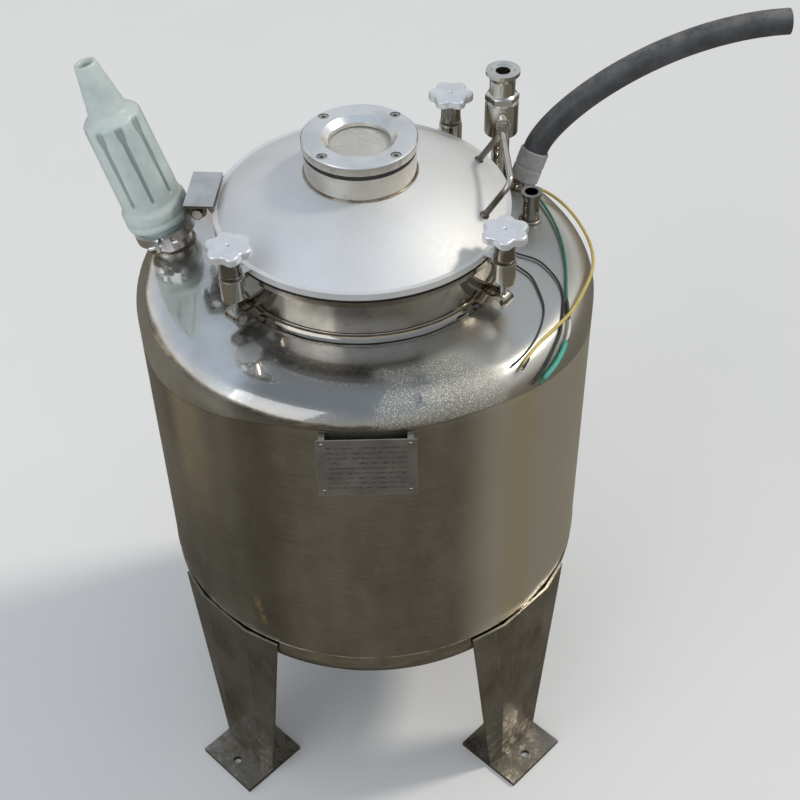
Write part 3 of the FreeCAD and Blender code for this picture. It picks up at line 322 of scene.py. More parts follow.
def satin_cover():
    """Fine satin dome: short brushed strokes towards the front, dust, and painted warm light on the right
    side and at the back.
    """
    r = Recipe("satin_cover")
    x, y, _ = r.axes()
    cloud = r.noise(6, 4, 0.6)
    stroke = r.noise(1, 4, 0.7, r.scaled(900, 120, 120))
    fine = r.noise(700, 2, 0.7)
    tone = r.mix(r.span(cloud, 0.3, 0.72), (0.82, 0.83, 0.845), (0.72, 0.72, 0.72))
    # Painted light: the right side and the back of the dome are tinted warm tan.
    warm = r.span(r.math("ADD", x, r.math("MULTIPLY", cloud, 0.12)), 0.02, 0.2)
    tone = r.mix(r.math("MULTIPLY", warm, 0.6), tone, (0.80, 0.775, 0.71))
    back = r.span(y, 0.08, 0.2)
    tone = r.mix(r.math("MULTIPLY", back, 0.5), tone, (0.78, 0.75, 0.69))
    tone = r.mix(r.span(stroke, 0.35, 0.7, 0.0, 0.28), tone, (0.86, 0.87, 0.89))
    tone = r.mix(r.span(fine, 0.6, 0.75, 0.0, 0.35), tone, (0.42, 0.42, 0.42))
    rough = r.span(stroke, 0.3, 0.7, 0.52, 0.64)
    relief = r.bump(stroke, 0.00012, strength=0.45)
    relief = r.bump(fine, 0.00006, relief, 0.3)
    return r.done(Base_Color=tone, Metallic=0.6, Roughness=rough, Normal=relief)


def knob_casting():
    """Polished casting with small pits."""
    r = Recipe("knob_casting")
    cloud = r.noise(40, 4, 0.6)
    pits = r.span(r.cells(210), 0.12, 0.03)
    tone = r.mix(r.span(cloud, 0.35, 0.7), (0.86, 0.87, 0.89), (0.74, 0.75, 0.78))
    tone = r.mix(r.math("MULTIPLY", pits, 0.35), tone, (0.3, 0.3, 0.32))
    relief = r.bump(cloud, 0.0003, strength=0.2)
    relief = r.bump(pits, 0.0001, relief, 0.2)
    return r.done(Base_Color=tone, Metallic=0.6, Roughness=r.span(cloud, 0.3, 0.7, 0.3, 0.42),
                  Normal=relief)


def plastic(name, tone, shade, rough, subsurface=0.0, fleck=0.0):
    """Moulded plastic or sheath with cloudy tone, fine texture and grime."""
    r = Recipe(name)
    cloud = r.noise(28, 4, 0.6)
    fine = r.noise(600, 2, 0.6)
    base = r.mix(r.span(cloud, 0.35, 0.7), tone, shade)
    grime = r.math("MULTIPLY", r.span(r.noise(70, 5, 0.7), 0.55, 0.75), fleck)
    base = r.mix(grime, base, tuple(c * 0.45 for c in shade))
    relief = r.bump(fine, 0.0001, strength=0.3)
    r.done(Base_Color=base, Roughness=r.span(cloud, 0.3, 0.7, rough, rough + 0.12), Normal=relief)
    if subsurface:
        r.shader.inputs["Subsurface Weight"].default_value = subsurface
        r.shader.inputs["Subsurface Radius"].default_value = (0.01, 0.012, 0.01)
        r.shader.inputs["Subsurface Scale"].default_value = 0.6
    return r.mat


def hose_rubber():
    """Charcoal hose: fabric-ribbed rubber with pale dust along its upper side."""
    r = Recipe("hose_rubber")
    up = r.node("ShaderNodeSeparateXYZ")
    r.feed(r.node("ShaderNodeNewGeometry").outputs["Normal"], up.inputs[0])
    dust = r.math("MULTIPLY", r.span(up.outputs[2], 0.45, 1.0), r.span(r.noise(45, 5, 0.7), 0.3, 0.65))
    lines = r.noise(1, 3, 0.6, r.scaled(12, 500, 500))
    base = r.mix(r.span(r.noise(30, 4), 0.35, 0.7), (0.05, 0.052, 0.056), (0.085, 0.088, 0.092))
    base = r.mix(r.math("MULTIPLY", dust, 0.55), base, (0.30, 0.29, 0.27))
    rough = r.math("ADD", r.math("MULTIPLY", dust, 0.3), 0.42)
    relief = r.bump(lines, 0.0003, strength=0.4)
    return r.done(Base_Color=base, Roughness=rough, Normal=relief)


def dusty_glass():
    """Sight glass fogged and dusted from both sides."""
    r = Recipe("dusty_glass")
    speck = r.noise(330, 4, 0.7)
    film = r.noise(22, 4, 0.6)
    base = r.mix(r.span(speck, 0.35, 0.7), (0.50, 0.49, 0.45), (0.68, 0.66, 0.61))
    base = r.mix(r.span(film, 0.4, 0.75, 0.0, 0.5), base, (0.78, 0.75, 0.70))
    return r.done(Base_Color=base, Roughness=r.span(film, 0.3, 0.7, 0.3, 0.55),
                  Normal=r.bump(speck, 0.0002, strength=0.3), Coat_Weight=0.35,
                  Coat_Roughness=0.12, Transmission_Weight=0.12)


def engraved_plate():
    """Nameplate: dull grey with plain ruled rows and no writing."""
    r = Recipe("engraved_plate")
    x, _, z = r.axes()
    low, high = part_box("nameplate")
    height = high.z - low.z
    row = r.math("FRACT", r.math("MULTIPLY", r.math("SUBTRACT", z, low.z), 11 / height))
    rule = r.math("MULTIPLY", r.span(row, 0.30, 0.36), r.span(row, 0.66, 0.60))
    inside = r.math("MULTIPLY", r.span(x, low.x + 0.012, low.x + 0.014),
                    r.span(x, high.x - 0.012, high.x - 0.014))
    body = r.math("MULTIPLY", r.span(z, low.z + 0.006, low.z + 0.008),
                  r.span(z, high.z - 0.008, high.z - 0.010))
    patchy = r.span(r.noise(130, 3, 0.6, r.scaled(1, 1, 3)), 0.42, 0.6)
    ink = r.math("MULTIPLY", r.math("MULTIPLY", rule, inside), r.math("MULTIPLY", body, patchy))
    base = r.mix(r.span(r.noise(26, 4), 0.3, 0.7), (0.20, 0.19, 0.175), (0.29, 0.28, 0.255))
    base = r.mix(r.math("MULTIPLY", ink, 0.75), base, (0.05, 0.048, 0.045))
    base = r.mix(r.math("MULTIPLY", r.edge(0.0008), 0.6), base, (0.8, 0.78, 0.7))
    return r.done(Base_Color=base, Metallic=0.7, Roughness=0.38,
                  Normal=r.bump(ink, 0.0001, strength=0.4))


def weld_metal():
    """Straw and brown heat tint on a bead."""
    r = Recipe("weld_metal")
    tint = r.noise(30, 4, 0.6)
    base = r.mix(r.span(tint, 0.35, 0.65), (0.48, 0.44, 0.37), (0.19, 0.14, 0.09))
    return r.done(Base_Color=base, Metallic=0.9, Roughness=r.span(tint, 0.3, 0.7, 0.28, 0.5),
                  Normal=r.bump(r.noise(500, 2), 0.0002, strength=0.5))


def leg_sheet():
    """Polished folded sheet, stained brown and splashed near the floor."""
    r = Recipe("leg_sheet")
    _, _, z = r.axes()
    cloud = r.noise(10, 5, 0.65)
    drag = r.noise(40, 4, 0.6, r.scaled(4, 4, 0.5))
    base = r.mix(r.span(cloud, 0.32, 0.7), (0.40, 0.375, 0.34), (0.22, 0.205, 0.17))
    base = r.mix(r.span(drag, 0.5, 0.7, 0.0, 0.45), base, (0.55, 0.52, 0.45))
    splash = r.math("MULTIPLY", r.span(z, 0.2, 0.02), r.span(r.noise(60, 5, 0.7), 0.4, 0.6))
    base = r.mix(r.math("MULTIPLY", splash, 0.7), base, (0.20, 0.165, 0.115))
    rough = r.math("ADD", r.span(cloud, 0.3, 0.7, 0.16, 0.3), r.math("MULTIPLY", splash, 0.35))
    relief = r.bump(r.noise(6, 2, 0.4), 0.003, strength=0.3)
    relief = r.bump(drag, 0.0002, relief, 0.3)
    return r.done(Base_Color=base, Metallic=0.95, Roughness=rough, Normal=relief)


def hinge_sheet():
    """Folded hinge arm: satin on top, with painted shade on the faces that look down or sideways."""
    r = Recipe("hinge_sheet")
    up = r.node("ShaderNodeSeparateXYZ")
    r.feed(r.node("ShaderNodeNewGeometry").outputs["True Normal"], up.inputs[0])
    # Painted light and shade: faces that look up take the bright tone, faces that look down or sideways the
    # dark one.
    top = r.span(up.outputs[2], 0.2, 0.6)
    cloud = r.noise(30, 4, 0.6)
    bright = r.mix(r.span(cloud, 0.35, 0.7), (0.66, 0.66, 0.65), (0.52, 0.52, 0.50))
    dark = r.mix(r.span(cloud, 0.35, 0.7), (0.22, 0.20, 0.17), (0.12, 0.11, 0.09))
    brightened = r.math("MULTIPLY", r.edge(), 0.5)
    tone = r.mix(brightened, r.mix(top, dark, bright), (0.78, 0.77, 0.74))
    return r.done(Base_Color=tone, Metallic=0.95, Roughness=r.span(cloud, 0.3, 0.7, 0.24, 0.36),
                  Normal=r.bump(r.noise(420, 2), 0.0001, strength=0.3))


def lift_rod():
    """Cover handle: bright on the outer run, dark towards its feet."""
    r = Recipe("lift_rod")
    x, _, _ = r.axes()
    cloud = r.noise(50, 4, 0.6)
    # Lighter on the outer run, past about x = 0.2 m; darker towards the feet.
    brightened = r.span(r.math("ADD", x, r.math("MULTIPLY", cloud, 0.006)), 0.191, 0.202)
    tone = r.mix(brightened, (0.16, 0.145, 0.125), (0.62, 0.59, 0.54))
    tone = r.mix(r.span(cloud, 0.5, 0.7, 0.0, 0.3), tone, (0.3, 0.27, 0.22))
    return r.done(Base_Color=tone, Metallic=0.95, Roughness=r.span(cloud, 0.3, 0.7, 0.16, 0.32),
                  Normal=r.bump(r.noise(400, 2), 0.0001, strength=0.3))


def capsule_plastic():
    """Greenish translucent moulding; painted shade darkens its slots, and a painted highlight lightens its
    edges.
    """
    r = Recipe("capsule_plastic")
    item = r.node("ShaderNodeAttribute", attribute_name="slot_shade")
    slot_shade = item.outputs["Fac"]
    cloud = r.noise(26, 4, 0.6)
    base = r.mix(r.span(cloud, 0.35, 0.7), (0.62, 0.70, 0.66), (0.52, 0.60, 0.58))
    # Painted shade: the slots are darkened by their depth.
    base = r.mix(r.math("MULTIPLY", slot_shade, 0.75), base, (0.27, 0.33, 0.32))
    # Painted highlight: the edges are lightened towards pale green.
    base = r.mix(r.math("MULTIPLY", r.edge(0.0016), 0.5), base, (0.80, 0.86, 0.82))
    grime = r.math("MULTIPLY", r.span(r.noise(70, 5, 0.7), 0.58, 0.75), 0.15)
    base = r.mix(grime, base, (0.30, 0.32, 0.28))
    r.done(Base_Color=base, Roughness=r.span(cloud, 0.3, 0.7, 0.30, 0.42),
           Normal=r.bump(r.noise(500, 2), 0.0001, strength=0.25))
    r.shader.inputs["Subsurface Weight"].default_value = 0.2
    r.shader.inputs["Subsurface Radius"].default_value = (0.01, 0.012, 0.01)
    r.shader.inputs["Subsurface Scale"].default_value = 0.5
    return r.mat


POLISHED = steel("polished_steel", (0.70, 0.67, 0.61), 0.12, dirt=0.35)
NECK = steel("neck_mirror", (0.37, 0.34, 0.295), 0.10, dirt=0.45, grain=1.0)
VALVE = steel("valve_polish", (0.80, 0.775, 0.72), 0.17, dirt=0.18)
BRIGHT = steel("bright_steel", (0.93, 0.92, 0.89), 0.27, dirt=0.15, grain=0.6)
FASTENER = steel("fastener_steel", (0.52, 0.50, 0.46), 0.26, dirt=0.6)
DARK_ROD = lift_rod()
INNER = steel("inner_steel", (0.52, 0.52, 0.51), 0.42, dirt=0.2)
WELD = weld_metal()
LEG = leg_sheet()
SEAL = plastic("dark_seal", (0.02, 0.02, 0.022), (0.045, 0.043, 0.04), 0.55, fleck=0.4)
VENT = capsule_plastic()
FILTER = plastic("filter_fabric", (0.72, 0.72, 0.68), (0.6, 0.6, 0.56), 0.8, fleck=0.3)
GLAND = plastic("gland_plastic", (0.48, 0.48, 0.46), (0.33, 0.33, 0.31), 0.38, 0.0, 0.55)
WHITE = plastic("seat_plastic", (0.85, 0.85, 0.82), (0.7, 0.7, 0.67), 0.4, fleck=0.2)
YELLOW = plastic("yellow_sheath", (0.72, 0.55, 0.16), (0.55, 0.42, 0.14), 0.36, 0.0, 0.35)
GREEN = plastic("green_sheath", (0.02, 0.22, 0.12), (0.03, 0.13, 0.08), 0.34, 0.0, 0.3)
BLACK = plastic("black_sheath", (0.02, 0.02, 0.02), (0.05, 0.05, 0.05), 0.38, 0.0, 0.4)
TEAL = plastic("teal_sleeve", (0.09, 0.48, 0.36), (0.06, 0.36, 0.27), 0.36, 0.0, 0.2)
KNOB = knob_casting()
SKIN = tank_skin()
BOTTOM = steel("bottom_polish", (0.50, 0.47, 0.41), 0.13, dirt=0.5, grain=1.2)

LOOKS = {
    "outer_shell": SKIN, "top_head": SKIN, "bottom_head": BOTTOM,
    "inner_vessel": INNER, "insulation": FILTER, "dip_tube": INNER,
    "manway_neck": NECK, "manway_gasket": SEAL, "cover_dome": satin_cover(),
    "sight_boss": POLISHED, "sight_gaskets": SEAL, "sight_glass": dusty_glass(),
    "sight_flange": BRIGHT, "sight_screws": FASTENER, "cover_sleeves": POLISHED,
    "hinge_arm": hinge_sheet(), "hinge_bracket": NECK, "hinge_pin": FASTENER,
    "lift_handle": DARK_ROD, "clamp_ears": NECK, "pivot_pins": FASTENER,
    "foot_plates": LEG, "nameplate": engraved_plate(), "nameplate_bracket": NECK,
    "nameplate_rivets": FASTENER, "vent_nozzle": BRIGHT, "vent_gasket": SEAL,
    "vent_clamp": BRIGHT, "vent_capsule": VENT, "vent_filter_element": FILTER,
    "valve_nozzle": POLISHED, "valve_body": VALVE, "valve_seats": WHITE,
    "valve_ball": POLISHED, "valve_stem": FASTENER, "valve_stop_plate": VALVE,
    "valve_stem_nut": FASTENER, "valve_ferrule": VALVE, "probe_socket": NECK,
    "gland_socket": POLISHED, "gland_body": GLAND, "black_hose": hose_rubber(),
    "yellow_wire": YELLOW, "green_wire": GREEN, "sensor_wires": BLACK,
    "drain_nozzle": POLISHED, "drain_cap": POLISHED,
}
for place in STATIONS:
    LOOKS["star_knob_" + place] = KNOB
    LOOKS["knob_washer_" + place] = FASTENER
    LOOKS["swing_bolt_" + place] = FASTENER
for place in LEGS:
    LOOKS["leg_" + place] = LEG


def dress(item, look):
    """Give every face of an object one material."""
    item.data.materials.clear()
    item.data.materials.append(look)


for name, item in nodes.items():
    dress(item, LOOKS[name])

# ---------------------------------------------------------------- mesh helpers


def piece(name, corners, faces, look, body, smooth=True):
    """New piece from vertices and faces, riding on a body."""
    mesh = bpy.data.meshes.new(name)
    mesh.from_pydata([tuple(c) for c in corners], [], faces)
    mesh.validate()
    mesh.update()
    item = bpy.data.objects.new(name, mesh)
    bpy.context.scene.collection.objects.link(item)
    mesh.materials.append(look)
    mesh.polygons.foreach_set("use_smooth", [smooth] * len(mesh.polygons))
    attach(item, body)
    return item


def skin(rows, closed_ring=True, closed_ends=True):
    """Vertices and faces of a surface through rows of points; ends are capped."""
    count = len(rows[0])
    corners = [p for row in rows for p in row]
    faces = []
    wrap = count if closed_ring else count - 1
    for i in range(len(rows) - 1):
        for j in range(wrap):
            k = (j + 1) % count
            faces.append((i * count + j, i * count + k, (i + 1) * count + k, (i + 1) * count + j))
    if closed_ends:
        faces.append(tuple(reversed(range(count))))
        faces.append(tuple(range((len(rows) - 1) * count, len(rows) * count)))
    return corners, faces


def loop_skin(rows):
    """Closed surface whose last row joins its first, such as a ring-shaped bead."""
    count = len(rows[0])
    corners = [p for row in rows for p in row]
    faces = []
    for i in range(len(rows)):
        n = (i + 1) % len(rows)
        for j in range(count):
            k = (j + 1) % count
            faces.append((i * count + j, i * count + k, n * count + k, n * count + j))
    return corners, faces


def bead(name, path, size, body, closed=True, look=None):
    """Weld bead along a path: a flattened cord with overlapping ripples."""
    rows = []
    sides = 8
    total = len(path)
    for i, spot in enumerate(path):
        before = path[(i - 1) % total] if closed or i else spot
        after = path[(i + 1) % total] if closed or i < total - 1 else spot
        along = (after - before).normalized()
        side = along.cross(Vector((0, 0, 1)))
        side = side.normalized() if side.length > 1e-4 else Vector((1, 0, 0))
        rise = side.cross(along)
        wander = noise.noise(spot * 90)
        ripple = 1 + 0.16 * abs(math.sin(i * 1.3)) + 0.22 * wander
        ring = []
        for j in range(sides):
            turn = 2 * math.pi * j / sides
            ring.append(spot + size * ripple * (side * math.cos(turn) + 0.7 * rise * math.sin(turn)))
        rows.append(ring)
    corners, faces = loop_skin(rows) if closed else skin(rows)
    return piece(name, corners, faces, look or WELD, body)


def ring_path(centre, radius, count, frame_matrix=None):
    """Points round a circle, in a frame whose Z is the circle's axis."""
    spots = []
    for i in range(count):
        turn = 2 * math.pi * i / count
        local = Vector((radius * math.cos(turn), radius * math.sin(turn), 0))
        spots.append(centre + (frame_matrix @ local if frame_matrix else local))
    return spots


def lathe(name, profile, look, body, matrix=None, segments=96, shape=None):
    """Body turned about Z from (radius, height) points; shape(turn, radius, height) may change a radius."""
    rows = []
    for radius, height in profile:
        ring = []
        for j in range(segments):
            turn = 2 * math.pi * j / segments
            r = shape(turn, radius, height) if shape else radius
            spot = Vector((r * math.cos(turn), r * math.sin(turn), height))
            ring.append(matrix @ spot if matrix else spot)
        rows.append(ring)
    corners, faces = loop_skin(rows)
    return piece(name, corners, faces, look, body)


def smoothstep(value, low, high):
    t = min(1.0, max(0.0, (value - low) / (high - low)))
    return t * t * (3 - 2 * t)


# ---------------------------------------------------------------- star knobs


def knob_outline(turn):
    """Factor on the radius of a six-lobed star, with broad lobes and short valleys."""
    wave = 0.5 - 0.5 * math.cos(6 * turn)
    return 1.0 - 0.19 * wave ** 1.35


def quarter(radius, level, roll, start, steps=6):
    """Quarter round at an edge, from a start angle in degrees."""
    turns = [math.radians(start + 90 * i / steps) for i in range(steps + 1)]
    return [(radius + roll * math.cos(t), level + roll * math.sin(t)) for t in turns]


def star_knob(place):
    """Cast six-lobed knob with a crowned top, rolled edges, and its hub and spigot."""
    tip = 33 * MM
    disc_low, disc_high = RIM_LEVEL + 60.6 * MM, RIM_LEVEL + 74 * MM
    hub = [
        (6.2 * MM, RIM_LEVEL + 8 * MM), (11.5 * MM, RIM_LEVEL + 8 * MM),
        (11.5 * MM, RIM_LEVEL + 24.1 * MM), (14.9 * MM, RIM_LEVEL + 24.1 * MM),
        (15.0 * MM, RIM_LEVEL + 30 * MM), (14.4 * MM, RIM_LEVEL + 40 * MM),
        (15.4 * MM, RIM_LEVEL + 50 * MM), (18.5 * MM, RIM_LEVEL + 58 * MM), (22 * MM, disc_low),
    ]
    edge = quarter(tip - 3 * MM, disc_low + 3 * MM, 3 * MM, -90)
    edge += quarter(tip - 4.5 * MM, disc_high - 5 * MM, 4.5 * MM, 0)
    crown = [(22 * MM, disc_high - 0.3 * MM), (12 * MM, disc_high - 0.1 * MM),
             (6 * MM, disc_high), (0.4 * MM, disc_high)]
    bore = [(0.4 * MM, RIM_LEVEL + 30 * MM), (6.2 * MM, RIM_LEVEL + 29 * MM)]
    centre = at(STATIONS[place], STATION_R)

    def star(turn, radius, height):
        share = smoothstep(height, RIM_LEVEL + 52 * MM, RIM_LEVEL + 60 * MM)
        share *= smoothstep(radius, 10 * MM, 27 * MM)
        return radius * (1 - share * (1 - knob_outline(turn)))

    matrix = Matrix.Translation(centre) @ Matrix.Rotation(math.radians(STATIONS[place]), 4, "Z")
    item = lathe(place + "_knob", hub + edge + crown + bore, KNOB, "knob_" + place,
                 matrix, 180, star)
    item.data.materials.append(NECK)
    for face in item.data.polygons:
        face.material_index = int(face.center.z < RIM_LEVEL + 57 * MM)
    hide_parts("star_knob_" + place)


for place in STATIONS:
    star_knob(place)

# ---------------------------------------------------------------- vent capsule

VENT_FRAME = (Matrix.Translation(VENT_FOOT) @ Matrix.Rotation(VENT_TURN, 4, "Z")
              @ Matrix.Rotation(VENT_LEAN, 4, "Y"))
SLOTS = 9


def slot_depth(turn, height):
    """Share of the long slots' depth: narrow at the foot, wide and round at the shoulder."""
    pitch = 2 * math.pi / SLOTS
    off = abs((turn + pitch / 2) % pitch - pitch / 2) / pitch
    width = 0.10 + 0.035 * smoothstep(height, 120 * MM, 190 * MM)
    width += 0.08 * smoothstep(height, 204 * MM, 220 * MM)
    ends = smoothstep(height, 106 * MM, 110 * MM) * (1 - smoothstep(height, 226 * MM, 236 * MM))
    return ends * (1 - smoothstep(off, width - 0.035, width))


def vent_capsule():
    """Moulded vent housing: clamp ferrule, faceted collar, slotted body, shoulder and spout."""
    foot = [(29, 46), (38.5, 46), (38.5, 50), (33, 55), (33, 59), (47, 63), (49, 65), (49, 72),
            (48.2, 73), (48.2, 75), (49, 76), (49, 88), (47.5, 91), (44.6, 96)]
    body = [(44.2 - 2.2 * i / 66, 98 + 2 * i) for i in range(67)]
    shoulder = [(42.0 - 14.5 * smoothstep(i, 0, 12), 230 + 1.6 * i) for i in range(1, 13)]
    spout = [(26.8, 251), (26.4, 256), (25, 259), (23, 275), (19, 297), (16.5, 314), (15.5, 318),
             (11.4, 318), (11.4, 312), (15, 280), (19, 262), (24, 250), (37, 222), (39, 97),
             (44, 88), (44, 68), (29, 64)]
    profile = [(r * MM, h * MM) for r, h in foot + body + shoulder + spout]
    outside = len(foot + body + shoulder)
    depths = []

    def slotted(turn, radius, height):
        outer = profile.index((radius, height)) < outside
        share = slot_depth(turn, height) if outer else 0.0
        depths.append(share)
        facet = 0.0
        if outer and 76 * MM <= height <= 88 * MM:
            facet = 0.6 * MM * (1 - abs(math.cos(9 * turn)))
        return radius - 2.8 * MM * share - facet

    item = lathe("vent_capsule_shell", profile, VENT, "tank", VENT_FRAME, 324, slotted)
    # The slot depths are stored for the painted slot shade.
    slot_shade = item.data.attributes.new("slot_shade", "FLOAT", "POINT")
    slot_shade.data.foreach_set("value", depths)
    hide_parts("vent_capsule")


vent_capsule()

# ---------------------------------------------------------------- welds and transitions


def neck_fillet():
    """Dressed corner where the neck meets the head, with an uneven foot."""
    rows = []
    for i in range(180):
        turn = 2 * math.pi * i / 180
        out = Vector((math.cos(turn), math.sin(turn), 0))
        wobble = 0.0012 * noise.noise(out * 9)
        foot = NECK_R + 0.013 + wobble
        arc = []
        for k in range(7):
            t = k / 6 * math.pi / 2
            arc.append(out * (foot - (foot - NECK_R) * math.sin(t))
                       + Vector((0, 0, NECK_FOOT - 0.0006 + 0.013 * (1 - math.cos(t)))))
        arc.append(out * (NECK_R - 0.001) + Vector((0, 0, NECK_FOOT - 0.002)))
        rows.append(arc)
    corners, faces = loop_skin(rows)
    piece("neck_fillet", corners, faces, NECK, "tank")


neck_fillet()
bead("neck_weld", ring_path(Vector((0, 0, NECK_FOOT)), NECK_R + 0.0125, 420), 0.0009, "tank",
     look=NECK)
bead("valve_nozzle_weld", ring_path(VALVE_AT + Vector((0, 0, 0.9295)), 0.0155, 60), 0.0022, "tank")
bead("probe_socket_weld", ring_path(SOCKET_AT + Vector((0, 0, 0.9305)), 0.0145, 60), 0.0022, "tank")


def head_level(plan):
    """Level of the top head's skin at a plan radius inside the knuckle."""
    dish, rim_level = 3.338, 0.9258
    return rim_level + (KNUCKLE_START ** 2 - plan ** 2) / (2 * dish)


def slanted_ring(foot, axis, radius, count):
    """Where a leaning round pipe meets the head: its circle carried along the axis to the skin."""
    side = axis.cross(Vector((0, 1, 0))).normalized()
    other = axis.cross(side)
    spots = []
    for i in range(count):
        turn = 2 * math.pi * i / count
        start = foot + radius * (side * math.cos(turn) + other * math.sin(turn))
        for _ in range(4):
            plan = math.hypot(start.x, start.y)
            start = start + axis * (skin_level(plan) - start.z) / axis.z
        spots.append(start)
    return spots


def skin_level(plan):
    """Level of the head's skin at any plan radius, knuckle included."""
    if plan <= KNUCKLE_START:
        return head_level(plan)
    reach = min(plan - (SHELL_R - KNUCKLE), KNUCKLE)
    return BAND_HIGH + KNUCKLE_RISE + math.sqrt(KNUCKLE ** 2 - reach ** 2)


vent_axis = VENT_FRAME.to_3x3() @ Vector((0, 0, 1))
bead("vent_nozzle_weld", slanted_ring(VENT_FOOT, vent_axis, 0.0335, 120), 0.0024, "tank")
bead("gland_socket_weld", slanted_ring(GLAND_FOOT, GLAND_AXIS, 0.0175, 70), 0.0020, "tank")
bead("sight_boss_weld", ring_path(Vector((0, 0, 1.0747)), 0.0790, 220), 0.0014, "cover")


def rim_bead(level, radius, size, name, body):
    bead(name, ring_path(Vector((0, 0, level)), radius, 520), size, body)


rim_bead(BAND_LOW, SHELL_R - 0.0002, 0.0008, "lower_seam", "tank")

# ---------------------------------------------------------------- wire sleeves


def head_point(azimuth, plan, lift):
    """Point above the top head; plan is the radius on its skin."""
    if plan <= KNUCKLE_START:
        return at(azimuth, plan, head_level(plan) + lift)
    centre = SHELL_R - KNUCKLE
    slope = math.acos(min(1.0, (plan - centre) / KNUCKLE))
    reach = centre + (KNUCKLE + lift) * math.cos(slope)
    return at(azimuth, reach, BAND_HIGH + KNUCKLE_RISE + (KNUCKLE + lift) * math.sin(slope))


def smooth_path(spots, steps=10):
    """Catmull-Rom curve through points."""
    ends = [spots[0] * 2 - spots[1]] + spots + [spots[-1] * 2 - spots[-2]]
    path = []
    for a, b, c, d in zip(ends, ends[1:], ends[2:], ends[3:]):
        for i in range(steps):
            t = i / steps
            path.append(0.5 * (2 * b + t * (c - a) + t * t * (2 * a - 5 * b + 4 * c - d)
                               + t ** 3 * (3 * b - a - 3 * c + d)))
    return path + [spots[-1]]


def sleeve(name, run, lift, size, look, share=(0.0, 1.0), sides=12):
    """Sheath on a wire, over part of its run."""
    path = smooth_path([head_point(a, plan * MM, lift * MM) for a, plan in run])
    first, last = int(share[0] * (len(path) - 1)), int(share[1] * (len(path) - 1))
    path = path[first:last + 1]
    rows = []
    for i, spot in enumerate(path):
        along = (path[min(i + 1, len(path) - 1)] - path[max(i - 1, 0)]).normalized()
        side = along.cross(Vector((0, 0, 1))).normalized()
        rise = side.cross(along)
        girth = size * MM * (1 + 0.05 * noise.noise(spot * 150))
        girth *= 0.8 if i in (0, len(path) - 1) else 1.0
        rows.append([spot + girth * (side * math.cos(t) + rise * math.sin(t))
                     for t in (2 * math.pi * j / sides for j in range(sides))])
    corners, faces = skin(rows)
    piece(name, corners, faces, look, "tank")


YELLOW_END = [(-36, 309), (-43, 310), (-50, 319)]
GREEN_END = [(-14, 294), (-23, 305), (-30, 322), (-38, 331), (-46, 334)]
OUTER_END = [(-16, 286), (-22, 299), (-30, 312), (-36, 321), (-48, 333)]
sleeve("yellow_wire_sleeve", YELLOW_END, 9.8, 3.0, BLACK, (0.78, 1.0))
sleeve("green_wire_joint", GREEN_END, 4.4, 2.6, BLACK, (0.24, 0.42))
sleeve("green_wire_core", GREEN_END, 4.4, 2.2, WHITE, (0.42, 0.62))
sleeve("green_wire_sleeve", GREEN_END, 4.4, 3.4, TEAL, (0.62, 0.97))
sleeve("sensor_wire_sleeve", OUTER_END, 3.0, 2.0, BLACK, (0.28, 0.98))

# ---------------------------------------------------------------- floor, light and camera


def floor():
    side = 30.0
    mesh = bpy.data.meshes.new("floor")
    mesh.from_pydata([(-side, -side, 0), (side, -side, 0), (side, side, 0), (-side, side, 0)], [],
                     [(0, 1, 2, 3)])
    item = bpy.data.objects.new("floor", mesh)
    bpy.context.scene.collection.objects.link(item)
    r = Recipe("floor_paint")
    tone = r.mix(r.noise(3, 3), (0.84, 0.84, 0.835), (0.87, 0.87, 0.86))
    ground = r.mix(r.span(r.noise(9, 5, 0.7), 0.35, 0.65), (0.13, 0.11, 0.075), (0.23, 0.21, 0.17))
    seen = r.node("ShaderNodeLightPath").outputs["Is Glossy Ray"]
    mesh.materials.append(r.done(Base_Color=r.mix(seen, tone, ground), Roughness=0.9))


